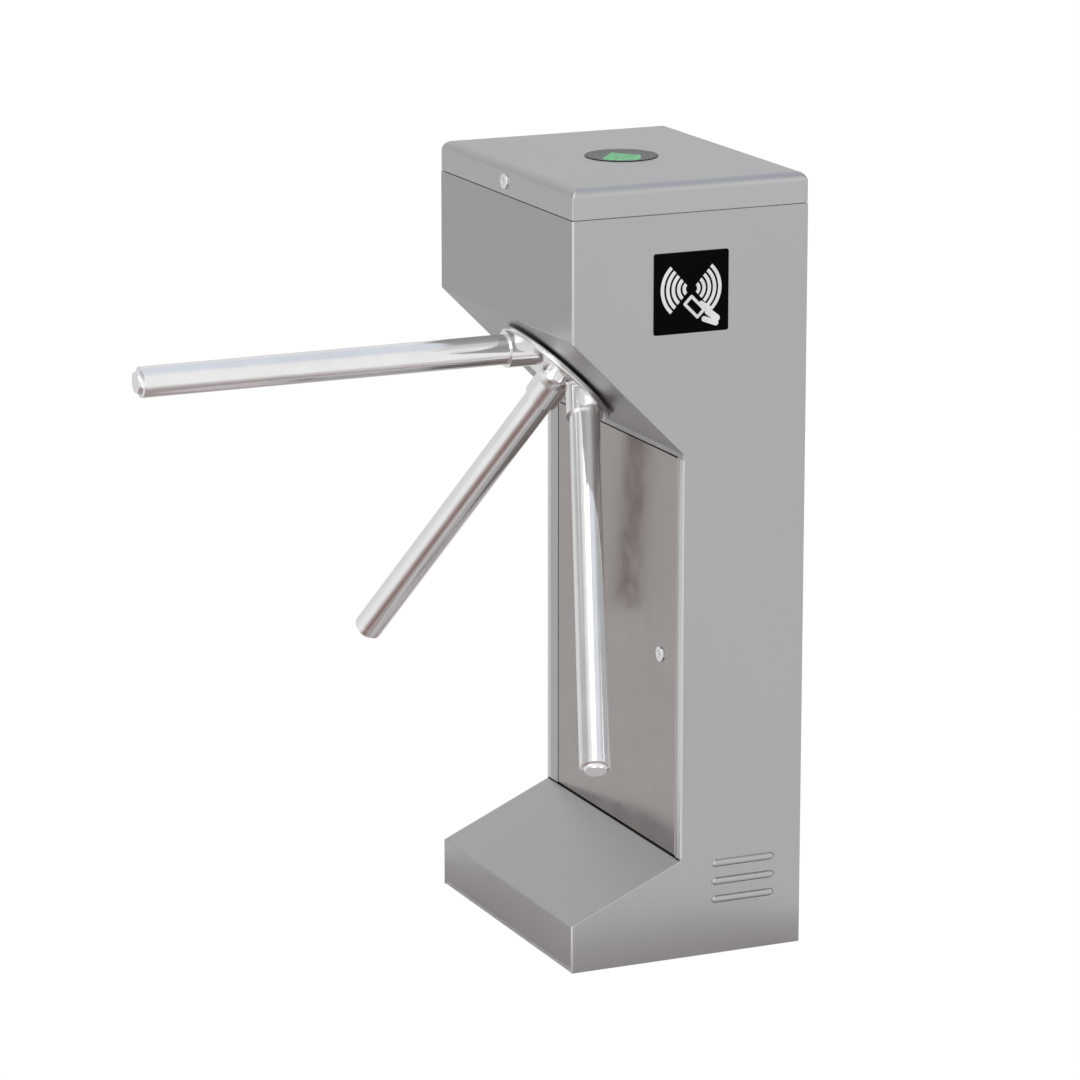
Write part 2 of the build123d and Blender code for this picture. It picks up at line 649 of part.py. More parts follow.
with BuildPart() as access_panel:
    with BuildSketch(Plane.YZ.offset(COLUMN)):
        with Locations(((PANEL_NEAR + PANEL_FAR) / 2, (PANEL_BOTTOM + PANEL_TOP) / 2)):
            Rectangle(PANEL_FAR - PANEL_NEAR, PANEL_TOP - PANEL_BOTTOM)
    extrude(amount=PANEL_RETURN)
    fillet(access_panel.faces().sort_by(Axis.X)[0].edges(), radius=1.2)
    offset(amount=-SHEET, openings=access_panel.faces().sort_by(Axis.X)[-1])
    with Locations((COLUMN, PANEL_LOCK_Y, PANEL_LOCK_Z)):
        Cylinder(LOCK_RADIUS, 6 * SHEET, rotation=(0, 90, 0), mode=Mode.SUBTRACT)
    for level in TAB_LEVELS:
        with BuildSketch(Plane.YZ.offset(TAB_FACE)):
            with Locations((PANEL_FAR - SHEET, level)):
                Rectangle(TAB_REACH, TAB_WIDTH, align=(Align.MIN, Align.CENTER))
        extrude(amount=SHEET)
access_panel.part.label = "access_panel"
export_step(access_panel.part, "parts/access_panel.step")

with BuildPart() as panel_lock_body:
    lock_barrel(COLUMN, PANEL_LOCK_Y, PANEL_LOCK_Z)
    lock_nut(COLUMN, PANEL_LOCK_Y, PANEL_LOCK_Z)
panel_lock_body.part.label = "panel_lock_body"
export_step(panel_lock_body.part, "parts/panel_lock_body.step")

with BuildPart() as panel_lock_cam:
    lock_plug(COLUMN, PANEL_LOCK_Y, PANEL_LOCK_Z)
    lock_tongue(COLUMN, PANEL_LOCK_Y, PANEL_LOCK_Z, PANEL_TONGUE)
panel_lock_cam.part.label = "panel_lock_cam"
export_step(panel_lock_cam.part, "parts/panel_lock_cam.step")


# ---------------------------------------------------------------- hub, arm sockets, shaft and their fixings
DISC_BACK = HUB_STANDOFF
DISC_FACE = HUB_STANDOFF + HUB_DISC
DISC_ROUND = 2.5
SOCKET_START = 40.0  # along an arm, behind the disc
SEAT_PLAY = 0.1
SPIGOT_RADIUS = ARM_RADIUS - ARM_WALL - SEAT_PLAY
SPIGOT_END = 130.0
SHAFT_RADIUS = 15.0
SHAFT_FLANGE = 32.0
FLANGE_BACK = -8.0
SHAFT_END = -137.0
KEY_START = -126.0
KEY_LENGTH = 28.0
KEY_SEAT = 8.0
HUB_BOLT_RADIUS = 6.0
HUB_BOLT_END = -20.0
BOLT_HEAD = 9.0
BOLT_HEAD_HEIGHT = 8.0
BOLT_SOCKET = 5.5  # corner radius
BOLT_SOCKET_DEPTH = 5.0
DOWEL_RADIUS = 3.0
DOWEL_INNER = -6.0
DOWEL_OUTER = 9.0
DOWEL_CIRCLE = 24.0
DOWEL_TURNS = [radians(60), radians(180), radians(300)]
DOWELS = [(DOWEL_CIRCLE * cos(turn), DOWEL_CIRCLE * sin(turn)) for turn in DOWEL_TURNS]
GRUB_RADIUS = 3.0
GRUB_PLACE = 98.0  # along an arm
GRUB_START = SPIGOT_RADIUS - 3
GRUB_CLEAR = 30.0  # past the outside of a collar
GRUB_SOCKET = 1.6
GRUB_SOCKET_DEPTH = 3.5


def grub_screws(inner, outer, radius, mode=Mode.ADD):
    """One cross rod in each collar, where the grub screw goes."""
    for number in range(ARM_COUNT):
        across = arm_plane(number)
        spot = across.origin + across.z_dir * GRUB_PLACE
        with BuildSketch(Plane(origin=spot, z_dir=across.x_dir).offset(inner)) as profile:
            Circle(radius)
        extrude(profile.sketch, amount=outer - inner, mode=mode)


def arm_rods(radius, start, end, mode=Mode.ADD):
    """A round rod along every arm between two distances from the arms' meeting point."""
    for number in range(ARM_COUNT):
        with BuildSketch(arm_plane(number).offset(start)) as profile:
            Circle(radius)
        extrude(profile.sketch, amount=end - start, mode=mode)


with BuildPart() as hub:
    hub_rod([(0, 0)], HUB_RADIUS, DISC_BACK, DISC_FACE)
    fillet(hub.edges(), radius=DISC_ROUND)
    hub_rod([(0, 0)], HUB_BOLT_RADIUS + 0.5, 0, DISC_FACE, Mode.SUBTRACT)
    hub_rod(DOWELS, DOWEL_RADIUS, 0, DOWEL_OUTER, Mode.SUBTRACT)
    # pockets that the ends of the tubes dip into
    arm_rods(ARM_RADIUS + SEAT_PLAY, ARM_SEAT, COLLAR_END, Mode.SUBTRACT)
hub.part.label = "hub"
export_step(hub.part, "parts/hub.step")

with BuildPart() as arm_sockets:
    arm_rods(COLLAR_RADIUS, SOCKET_START, COLLAR_END)
    split(bisect_by=HUB.offset(DISC_FACE))
    arm_rods(ARM_RADIUS + SEAT_PLAY, ARM_SEAT, COLLAR_END + 1, Mode.SUBTRACT)
    arm_rods(SPIGOT_RADIUS, ARM_SEAT - 4, SPIGOT_END)
    add(hub.part, mode=Mode.SUBTRACT)
    grub_screws(GRUB_START, GRUB_CLEAR, GRUB_RADIUS, Mode.SUBTRACT)
arm_sockets.part.label = "arm_sockets"
export_step(arm_sockets.part, "parts/arm_sockets.step")

with BuildPart() as main_shaft:
    shaft_outline = [
        (0, DISC_BACK),
        (SHAFT_FLANGE, DISC_BACK),
        (SHAFT_FLANGE, FLANGE_BACK),
        (SHAFT_RADIUS, FLANGE_BACK),
        (SHAFT_RADIUS, SHAFT_END),
        (0, SHAFT_END),
    ]
    hub_turned(shaft_outline)
    hub_rod([(0, 0)], HUB_BOLT_RADIUS, HUB_BOLT_END, DISC_BACK, Mode.SUBTRACT)
    hub_rod(DOWELS, DOWEL_RADIUS, DOWEL_INNER, DISC_BACK, Mode.SUBTRACT)
    with BuildSketch(HUB.offset(KEY_START)):
        with Locations((SHAFT_RADIUS, 0)):
            Rectangle(KEY_SEAT, KEY_SEAT)
    extrude(amount=KEY_LENGTH, mode=Mode.SUBTRACT)
main_shaft.part.label = "main_shaft"
export_step(main_shaft.part, "parts/main_shaft.step")

with BuildPart() as hub_fixings:
    hub_rod([(0, 0)], HUB_BOLT_RADIUS, HUB_BOLT_END, DISC_FACE)
    hub_rod([(0, 0)], BOLT_HEAD, DISC_FACE, DISC_FACE + BOLT_HEAD_HEIGHT)
    with BuildSketch(HUB.offset(DISC_FACE + BOLT_HEAD_HEIGHT - BOLT_SOCKET_DEPTH)):
        RegularPolygon(BOLT_SOCKET, 6)
    extrude(amount=BOLT_SOCKET_DEPTH, mode=Mode.SUBTRACT)
    hub_rod(DOWELS, DOWEL_RADIUS, DOWEL_INNER, DOWEL_OUTER)
    grub_screws(GRUB_START, COLLAR_RADIUS - 0.6, GRUB_RADIUS)
    grub_screws(COLLAR_RADIUS - GRUB_SOCKET_DEPTH, COLLAR_RADIUS, GRUB_SOCKET, Mode.SUBTRACT)
hub_fixings.part.label = "hub_fixings"
export_step(hub_fixings.part, "parts/hub_fixings.step")

CAP_RADIUS = 21.0
CAP_HEIGHT = 18.0
CAP_SKIRT = 5.0
DOME_RISE = CAP_HEIGHT - CAP_SKIRT
DOME_RADIUS = (CAP_RADIUS**2 + DOME_RISE**2) / (2 * DOME_RISE)
DOME_START = degrees(acos(CAP_RADIUS / DOME_RADIUS))
DOME_CENTRE = DISC_FACE + CAP_HEIGHT - DOME_RADIUS

with BuildPart() as hub_cap:
    with BuildSketch(HUB_SECTION):
        with BuildLine():
            skirt = Line((CAP_RADIUS, DISC_FACE), (CAP_RADIUS, DISC_FACE + CAP_SKIRT))
            dome = CenterArc((0, DOME_CENTRE), DOME_RADIUS, DOME_START, 90 - DOME_START)
            Polyline(dome @ 1, (0, DISC_FACE), skirt @ 0)
        make_face()
    revolve(axis=HUB_AXIS)
    hub_rod([(0, 0)], BOLT_HEAD + 2, DISC_FACE, DISC_FACE + BOLT_HEAD_HEIGHT + 2, Mode.SUBTRACT)
    add(arm_sockets.part, mode=Mode.SUBTRACT)
hub_cap.part.label = "hub_cap"
export_step(hub_cap.part, "parts/hub_cap.step")

# ---------------------------------------------------------------- arms
CAP_START = ARM_REACH - CAP_LENGTH
CAP_PLUG = ARM_RADIUS - ARM_WALL - SEAT_PLAY
CAP_PLUG_END = CAP_START - 20
CAP_ROUND = 6.0

for number in range(ARM_COUNT):
    with BuildPart() as arm_tube:
        with BuildSketch(arm_plane(number).offset(ARM_SEAT)):
            Circle(ARM_RADIUS)
            Circle(ARM_RADIUS - ARM_WALL, mode=Mode.SUBTRACT)
        extrude(amount=CAP_START - ARM_SEAT)
        grub_screws(0, GRUB_CLEAR, GRUB_RADIUS, Mode.SUBTRACT)
    arm_tube.part.label = f"arm_tube_{number + 1}"
    export_step(arm_tube.part, f"parts/arm_tube_{number + 1}.step")

with BuildPart() as arm_end_caps:
    for number in range(ARM_COUNT):
        with BuildSketch(along_arm(number)) as cap_profile:
            with BuildLine():
                side = Polyline(
                    (0, CAP_PLUG_END),
                    (CAP_PLUG, CAP_PLUG_END),
                    (CAP_PLUG, CAP_START),
                    (ARM_RADIUS, CAP_START),
                    (ARM_RADIUS, ARM_REACH - CAP_ROUND),
                )
                rim = (ARM_RADIUS - CAP_ROUND, ARM_REACH)
                rounding = RadiusArc(side @ 1, rim, CAP_ROUND)
                Polyline(rounding @ 1, (0, ARM_REACH), side @ 0)
            make_face()
        revolve(cap_profile.sketch, axis=arm_axis(number))
arm_end_caps.part.label = "arm_end_caps"
export_step(arm_end_caps.part, "parts/arm_end_caps.step")

# ---------------------------------------------------------------- fixed frame of the mechanism
PLATE_FACE = -25.0
PLATE_BACK = -33.0
PLATE_SIZE = (190.0, 250.0)
PLATE_HOLE = 20.0
PLATE_CORNER = 8.0
REAR_FACE = -140.0
REAR_BACK = -146.0
REAR_SIZE = (180.0, 214.0)
REAR_HOLE = 24.0
HOUSING_BACK = -95.0
MOTOR_OFFSET = 72.0  # between the hub axis and the motor axis
MOTOR = (0, MOTOR_OFFSET)
MOTOR_SCREW_CIRCLE = 16.0
HOUSING_BOLT_CIRCLE = 47.0
PILLAR_X = 80.0
PILLAR_Y = 96.0
STANDOFF_X = 84.0
STANDOFF_Y = 112.0
PIVOT_X = 56.0
PIVOT_Y = -45.0
PIVOT_PIN = 4.0
PIVOT_SPACER = 6.5
PILLAR = 7.0  # radius
M6 = 3.0
M6_HEAD = 5.0
M6_LENGTH = 14.0  # in a tapped pillar
M6_NUT = 5.8  # corner radius
M4 = 2.0
M4_HEAD = 3.5


def corners_of(x, y):
    """Four spots, one in each quarter."""
    return [(side_x * x, side_y * y) for side_x in (-1, 1) for side_y in (-1, 1)]


def diagonal_circle(circle, y=0):
    """Four spots on the diagonals of a circle whose middle is at height y."""
    turns = [radians(turn) for turn in range(45, 360, 90)]
    return [(circle * cos(turn), y + circle * sin(turn)) for turn in turns]


PILLARS = corners_of(PILLAR_X, PILLAR_Y)
STANDOFFS = corners_of(STANDOFF_X, STANDOFF_Y)
HOUSING_BOLTS = diagonal_circle(HOUSING_BOLT_CIRCLE)
MOTOR_SCREWS = diagonal_circle(MOTOR_SCREW_CIRCLE, MOTOR_OFFSET)
PIVOTS = [(-PIVOT_X, PIVOT_Y), (PIVOT_X, PIVOT_Y)]

with BuildPart() as mechanism_plate:
    with BuildSketch(HUB.offset(PLATE_FACE)):
        RectangleRounded(*PLATE_SIZE, PLATE_CORNER)
        Circle(PLATE_HOLE, mode=Mode.SUBTRACT)
        with Locations(*STANDOFFS, *PILLARS, *HOUSING_BOLTS):
            Circle(M6, mode=Mode.SUBTRACT)
        with Locations(*PIVOTS):
            Circle(PIVOT_PIN, mode=Mode.SUBTRACT)
    extrude(amount=PLATE_BACK - PLATE_FACE)
mechanism_plate.part.label = "mechanism_plate"
export_step(mechanism_plate.part, "parts/mechanism_plate.step")

with BuildPart() as rear_plate:
    with BuildSketch(HUB.offset(REAR_FACE)):
        RectangleRounded(*REAR_SIZE, PLATE_CORNER)
        Circle(REAR_HOLE, mode=Mode.SUBTRACT)
        with Locations(*PILLARS):
            Circle(M6, mode=Mode.SUBTRACT)
        with Locations(*PIVOTS):
            Circle(PIVOT_PIN, mode=Mode.SUBTRACT)
        with Locations(MOTOR):
            Circle(9, mode=Mode.SUBTRACT)
        with Locations(*MOTOR_SCREWS):
            Circle(M4, mode=Mode.SUBTRACT)
    extrude(amount=REAR_BACK - REAR_FACE)
rear_plate.part.label = "rear_plate"
export_step(rear_plate.part, "parts/rear_plate.step")

with BuildPart() as mechanism_pillars:
    # threaded standoffs on the undercut, and pillars between the two plates
    hub_rod(STANDOFFS, PILLAR, PLATE_FACE, -SHEET)
    hub_rod(STANDOFFS, M6, PLATE_BACK - 9, PLATE_FACE)
    hub_rod(PILLARS, PILLAR, REAR_FACE, PLATE_BACK)
    hub_rod(PILLARS, M6, REAR_BACK, PLATE_FACE, Mode.SUBTRACT)
mechanism_pillars.part.label = "mechanism_pillars"
export_step(mechanism_pillars.part, "parts/mechanism_pillars.step")

with BuildPart() as mechanism_screws:
    hub_rod(PILLARS, M6, PLATE_BACK - M6_LENGTH, PLATE_FACE)
    hub_rod(PILLARS, M6_HEAD, PLATE_FACE, PLATE_FACE + M6_HEAD)
    hub_rod(PILLARS, M6, REAR_BACK, REAR_FACE + M6_LENGTH)
    hub_rod(PILLARS, M6_HEAD, REAR_BACK - M6_HEAD, REAR_BACK)
    hub_rod(HOUSING_BOLTS, M6, PLATE_BACK - 10, PLATE_FACE)
    hub_rod(HOUSING_BOLTS, M6_HEAD, PLATE_FACE, PLATE_FACE + M6_HEAD)
    hub_rod(MOTOR_SCREWS, M4, REAR_BACK, REAR_FACE)
    hub_rod(MOTOR_SCREWS, M4_HEAD, REAR_FACE, REAR_FACE + 3)
    with BuildSketch(HUB.offset(PLATE_BACK)):
        with Locations(*STANDOFFS):
            RegularPolygon(M6_NUT, 6)
            Circle(M6, mode=Mode.SUBTRACT)
    extrude(amount=-5)
mechanism_screws.part.label = "mechanism_screws"
export_step(mechanism_screws.part, "parts/mechanism_screws.step")

# ---------------------------------------------------------------- bearing housing and bearings
BORE = 31.0  # radius of the bearing seats
BORE_SHOULDER = 28.0
BALL_CIRCLE = 23.0
BALL_RADIUS = 4.6
BALL_COUNT = 9
BEARING_WIDTH = 16.0
OUTER_RING = 26.0  # inside radius of an outer ring
INNER_RING = 20.0  # outside radius of an inner ring
SLEEVE = 19.0
BEARINGS = [-44.0, -84.0]  # middle levels of the two ball bearings
FRONT_SEAT = BEARINGS[0] + BEARING_WIDTH / 2
FRONT_END = BEARINGS[0] - BEARING_WIDTH / 2
REAR_SEAT = BEARINGS[1] + BEARING_WIDTH / 2
HOUSING_LIP = 22.0
HOUSING_FLANGE = 55.0
HOUSING_RADIUS = 42.0
FLANGE_THICK = 10.0

with BuildPart() as bearing_housing:
    housing_outline = [
        (HOUSING_LIP, PLATE_BACK),
        (HOUSING_FLANGE, PLATE_BACK),
        (HOUSING_FLANGE, PLATE_BACK - FLANGE_THICK),
        (HOUSING_RADIUS, PLATE_BACK - FLANGE_THICK),
        (HOUSING_RADIUS, HOUSING_BACK),
        (BORE, HOUSING_BACK),
        (BORE, REAR_SEAT),
        (BORE_SHOULDER, REAR_SEAT),
        (BORE_SHOULDER, FRONT_END),
        (BORE, FRONT_END),
        (BORE, FRONT_SEAT),
        (HOUSING_LIP, FRONT_SEAT),
    ]
    hub_turned(housing_outline)
    hub_rod(HOUSING_BOLTS, M6, PLATE_BACK - FLANGE_THICK, PLATE_BACK, Mode.SUBTRACT)
bearing_housing.part.label = "bearing_housing"
export_step(bearing_housing.part, "parts/bearing_housing.step")


def bearing_ring(level, inner, outer, groove_radius):
    """Bearing ring with a ball groove."""
    with BuildSketch(HUB_SECTION) as profile:
        with Locations(((inner + outer) / 2, level)):
            Rectangle(outer - inner, BEARING_WIDTH)
        with Locations((BALL_CIRCLE, level)):
            Circle(groove_radius, mode=Mode.SUBTRACT)
    revolve(profile.sketch, axis=HUB_AXIS)


with BuildPart() as bearing_outer_rings:
    for level in BEARINGS:
        bearing_ring(level, OUTER_RING, BORE, BALL_RADIUS + 0.15)
bearing_outer_rings.part.label = "bearing_outer_rings"
export_step(bearing_outer_rings.part, "parts/bearing_outer_rings.step")

with BuildPart() as bearing_inner_rings:
    for level in BEARINGS:
        bearing_ring(level, SHAFT_RADIUS, INNER_RING, BALL_RADIUS + 0.05)
    # spacing sleeves in front of the bearings and between them
    for start, end in ((FLANGE_BACK, FRONT_SEAT + 0.05), (FRONT_END - 0.05, REAR_SEAT + 0.05)):
        hub_turned([(SHAFT_RADIUS, start), (SLEEVE, start), (SLEEVE, end), (SHAFT_RADIUS, end)])
bearing_inner_rings.part.label = "bearing_inner_rings"
export_step(bearing_inner_rings.part, "parts/bearing_inner_rings.step")

with BuildPart() as bearing_balls:
    for level in BEARINGS:
        for number in range(BALL_COUNT):
            turn = radians(360 / BALL_COUNT * number)
            spot = HUB.from_local_coords((BALL_CIRCLE * cos(turn), BALL_CIRCLE * sin(turn), level))
            with Locations(spot):
                Sphere(BALL_RADIUS)
bearing_balls.part.label = "bearing_balls"
export_step(bearing_balls.part, "parts/bearing_balls.step")


# ---------------------------------------------------------------- index disc, gear train and sensor disc
NOTCH_COUNT = 6
INDEX_RADIUS = 58.0
NOTCH_FLOOR = 46.0
NOTCH_WIDTH = 16.0
PAWL_LOW = -108.0
PAWL_HIGH = -100.0
MODULE = 1.5
GEAR_TEETH = 72
PINION_TEETH = 24
GEAR_LEVEL = -124.0
GEAR_WIDTH = 8.0
GEAR_HOLE = 9.0  # lightening holes
BACKLASH = 0.25
PRESSURE = radians(20)
BOSS_RADIUS = 24.0
BOSS_LENGTH = 24.0
KEY_HEIGHT = 7.0


def tooth_points(teeth, phase):
    """Closed outline of a spur gear, with one tooth centred at the phase angle in degrees."""
    pitch = MODULE * teeth / 2
    base = pitch * cos(PRESSURE)
    spread = tan(PRESSURE) - PRESSURE
    half_tooth = (pi * MODULE / 2 - BACKLASH) / (2 * pitch)
    flank = []
    for radius in (max(base, pitch - MODULE * 0.8), pitch, pitch + MODULE * 0.9):
        roll = acos(min(1, base / radius))
        flank.append((radius, half_tooth + spread - (tan(roll) - roll)))
    root = pitch - 1.25 * MODULE
    half = [(root, flank[0][1] + pi / teeth / 5), *flank]
    tooth = [(radius, -angle) for radius, angle in half] + [*reversed(half)]
    points = []
    for number in range(teeth):
        middle = radians(phase) + 2 * pi * number / teeth
        points += [(radius * cos(middle + angle), radius * sin(middle + angle)) for radius, angle in tooth]
    return points


def key_slot():
    """Cut the shaft bore and the keyway from a hub sketch."""
    Circle(SHAFT_RADIUS, mode=Mode.SUBTRACT)
    with Locations((SHAFT_RADIUS, 0)):
        Rectangle(KEY_HEIGHT, KEY_SEAT, mode=Mode.SUBTRACT)


with BuildPart() as index_disc:
    with BuildSketch(HUB.offset(PAWL_LOW)):
        Circle(INDEX_RADIUS)
        with PolarLocations(INDEX_RADIUS, NOTCH_COUNT):
            Rectangle(2 * (INDEX_RADIUS - NOTCH_FLOOR), NOTCH_WIDTH, mode=Mode.SUBTRACT)
        key_slot()
    extrude(amount=PAWL_HIGH - PAWL_LOW)
    with BuildSketch(HUB.offset(GEAR_LEVEL + GEAR_WIDTH)):
        Circle(BOSS_RADIUS)
        key_slot()
    extrude(amount=BOSS_LENGTH)
index_disc.part.label = "index_disc"
export_step(index_disc.part, "parts/index_disc.step")

with BuildPart() as drive_gear:
    with BuildSketch(HUB.offset(GEAR_LEVEL)):
        with BuildLine():
            Polyline(*tooth_points(GEAR_TEETH, 90), close=True)
        make_face()
        with PolarLocations(38, 6, 30):
            Circle(GEAR_HOLE, mode=Mode.SUBTRACT)
        key_slot()
    extrude(amount=GEAR_WIDTH)
drive_gear.part.label = "drive_gear"
export_step(drive_gear.part, "parts/drive_gear.step")

CIRCLIP_LEVEL = -133.5
CIRCLIP_RADIUS = 18.5
CIRCLIP_THICK = 1.4
SENSOR_DISC_LEVEL = -132.0
SENSOR_DISC_RADIUS = 40.0
SENSOR_SLOTS = 12
SENSOR_CIRCLE = 36.0

with BuildPart() as shaft_key_and_circlip:
    with BuildSketch(HUB.offset(KEY_START + 1)):
        with Locations((SHAFT_RADIUS - 0.2, 0)):
            Rectangle(KEY_HEIGHT - 0.2, KEY_SEAT)
    extrude(amount=KEY_LENGTH - 2)
    with BuildSketch(HUB.offset(CIRCLIP_LEVEL)):
        Circle(CIRCLIP_RADIUS)
        Circle(SHAFT_RADIUS, mode=Mode.SUBTRACT)
        with Locations((SHAFT_RADIUS + 2, 0)):
            Rectangle(8, 5, mode=Mode.SUBTRACT)
    extrude(amount=CIRCLIP_THICK)
shaft_key_and_circlip.part.label = "shaft_key_and_circlip"
export_step(shaft_key_and_circlip.part, "parts/shaft_key_and_circlip.step")

with BuildPart() as sensor_disc:
    with BuildSketch(HUB.offset(SENSOR_DISC_LEVEL)):
        Circle(SENSOR_DISC_RADIUS)
        Circle(SHAFT_RADIUS, mode=Mode.SUBTRACT)
        with PolarLocations(SENSOR_CIRCLE, SENSOR_SLOTS):
            Rectangle(6, 5, mode=Mode.SUBTRACT)
    extrude(amount=1.5)
    with BuildSketch(HUB.offset(SENSOR_DISC_LEVEL)):
        Circle(22)
        Circle(SHAFT_RADIUS, mode=Mode.SUBTRACT)
    extrude(amount=6)
sensor_disc.part.label = "sensor_disc"
export_step(sensor_disc.part, "parts/sensor_disc.step")

# ---------------------------------------------------------------- drive motor and position sensors
PINION_LEVEL = -126.0
PINION_WIDTH = 12.0
MOTOR_SHAFT = 4.0
MOTOR_SHAFT_END = REAR_BACK - 10
GEARBOX_BACK = REAR_BACK - 32
MOTOR_BACK = REAR_BACK - 82
ENCODER_BACK = REAR_BACK - 92
SENSOR_TURNS = [215, 325]
SENSOR_LENGTH = 14.5
SENSOR_GAP = 6.0  # slot that the sensor disc runs in

with BuildPart() as motor_pinion:
    pinion_place = HUB.from_local_coords((0, MOTOR_OFFSET, PINION_LEVEL))
    with BuildSketch(Plane(origin=pinion_place, x_dir=UP, z_dir=OUT)):
        with BuildLine():
            Polyline(*tooth_points(PINION_TEETH, -90 + 180 / PINION_TEETH), close=True)
        make_face()
    extrude(amount=PINION_WIDTH)
    hub_rod([MOTOR], MOTOR_SHAFT, MOTOR_SHAFT_END, PINION_LEVEL)
motor_pinion.part.label = "motor_pinion"
export_step(motor_pinion.part, "parts/motor_pinion.step")

with BuildPart() as drive_motor:
    hub_rod([MOTOR], 22.5, GEARBOX_BACK, REAR_BACK)
    hub_rod([MOTOR], 21, MOTOR_BACK, GEARBOX_BACK)
    hub_rod([MOTOR], 16, ENCODER_BACK, MOTOR_BACK)
    hub_rod([MOTOR], MOTOR_SHAFT + 0.2, MOTOR_SHAFT_END - 0.5, REAR_BACK, Mode.SUBTRACT)
drive_motor.part.label = "drive_motor"
export_step(drive_motor.part, "parts/drive_motor.step")

with BuildPart() as position_sensors:
    for turn in SENSOR_TURNS:
        away = radians(turn)
        spot = (SENSOR_DISC_RADIUS * cos(away), SENSOR_DISC_RADIUS * sin(away), 0)
        place = Location(spot, (0, 0, turn))
        with BuildSketch(HUB.offset(REAR_FACE)) as sensor_body:
            with Locations(place):
                Rectangle(16, 12)
        extrude(sensor_body.sketch, amount=SENSOR_LENGTH)
        with BuildSketch(HUB.offset(REAR_FACE + SENSOR_GAP)) as sensor_slot:
            with Locations(place * Location((-5, 0, 0))):
                Rectangle(16, 20)
        extrude(sensor_slot.sketch, amount=SENSOR_GAP, mode=Mode.SUBTRACT)
position_sensors.part.label = "position_sensors"
export_step(position_sensors.part, "parts/position_sensors.step")

# ---------------------------------------------------------------- locking pawls and solenoids
TAIL = 30.0
PAWL_BOSS = 8.0
PAWL_WIDTH = 8.0
PAWL_ELBOW = (17.0, 24.0)
PAWL_ELBOW_RADIUS = 4.5
PAWL_FINGER = (16.0, 45.0)
PAWL_FINGER_RADIUS = 4.0
PAWL_NOSE = [(16.0, 41.0), (5.0, 42.0), (5.0, 48.0), (16.0, 49.0)]
PAWL_PLAY = 0.06
SOLENOID_Y = PIVOT_Y - TAIL
SOLENOID_INNER = 12.0
SOLENOID_OUTER = 46.0
SOLENOID_MIDDLE = (SOLENOID_INNER + SOLENOID_OUTER) / 2
SOLENOID_SIZE = 26.0
SOLENOID_LEVEL = (PAWL_LOW + PAWL_HIGH) / 2
PLUNGER_RADIUS = 4.0
PLUNGER_PLAY = 0.1
PLUNGER_TIP = PIVOT_X - 8.3
BRACKET = 3.0
BRACKET_WIDTH = 28.0


def pawl_shape():
    """Right-hand pawl about its pivot: a bent finger with a nose, and a tail for the solenoid."""
    with BuildSketch() as shape:
        Circle(PAWL_BOSS)
        with Locations(PAWL_ELBOW):
            Circle(PAWL_ELBOW_RADIUS)
        make_hull()
        with BuildSketch() as finger:
            with Locations(PAWL_ELBOW):
                Circle(PAWL_ELBOW_RADIUS)
            with Locations(PAWL_FINGER):
                Circle(PAWL_FINGER_RADIUS)
            make_hull()
        with BuildLine():
            Polyline(*PAWL_NOSE, close=True)
        make_face()
        with Locations((0, -TAIL / 2)):
            Rectangle(PAWL_WIDTH, TAIL + PAWL_WIDTH)
        Circle(PIVOT_PIN + PAWL_PLAY, mode=Mode.SUBTRACT)
    return shape.sketch


RIGHT_PAWL = pawl_shape()
LEFT_PAWL = mirror(RIGHT_PAWL, about=Plane.YZ)

for name, side, shape in (("entry", -1, LEFT_PAWL), ("exit", 1, RIGHT_PAWL)):
    with BuildPart() as pawl:
        with BuildSketch(HUB.offset(PAWL_LOW)):
            with Locations((side * PIVOT_X, PIVOT_Y)):
                add(shape)
        extrude(amount=PAWL_HIGH - PAWL_LOW)
    pawl.part.label = f"locking_pawl_{name}"
    export_step(pawl.part, f"parts/locking_pawl_{name}.step")
    with BuildPart() as plunger:
        tip = HUB.from_local_coords((side * PLUNGER_TIP, SOLENOID_Y, SOLENOID_LEVEL))
        with BuildSketch(Plane(origin=tip, z_dir=UP * -side)):
            Circle(PLUNGER_RADIUS)
        extrude(amount=PLUNGER_TIP - SOLENOID_INNER - 3)
        with Locations(tip):
            Sphere(PLUNGER_RADIUS)
    plunger.part.label = f"solenoid_plunger_{name}"
    export_step(plunger.part, f"parts/solenoid_plunger_{name}.step")

with BuildPart() as solenoids:
    with BuildSketch(HUB.offset(SOLENOID_LEVEL - SOLENOID_SIZE / 2)):
        with Locations((-SOLENOID_MIDDLE, SOLENOID_Y), (SOLENOID_MIDDLE, SOLENOID_Y)):
            Rectangle(SOLENOID_OUTER - SOLENOID_INNER, SOLENOID_SIZE)
    extrude(amount=SOLENOID_SIZE)
    bore_plane = Plane(origin=HUB.from_local_coords((0, SOLENOID_Y, SOLENOID_LEVEL)), z_dir=UP)
    for side in (-1, 1):
        with BuildSketch(bore_plane.offset(side * (SOLENOID_INNER + 2))) as plunger_bore:
            Circle(PLUNGER_RADIUS + PLUNGER_PLAY)
        extrude(plunger_bore.sketch, amount=side * SOLENOID_OUTER, mode=Mode.SUBTRACT)
solenoids.part.label = "solenoids"
export_step(solenoids.part, "parts/solenoids.step")

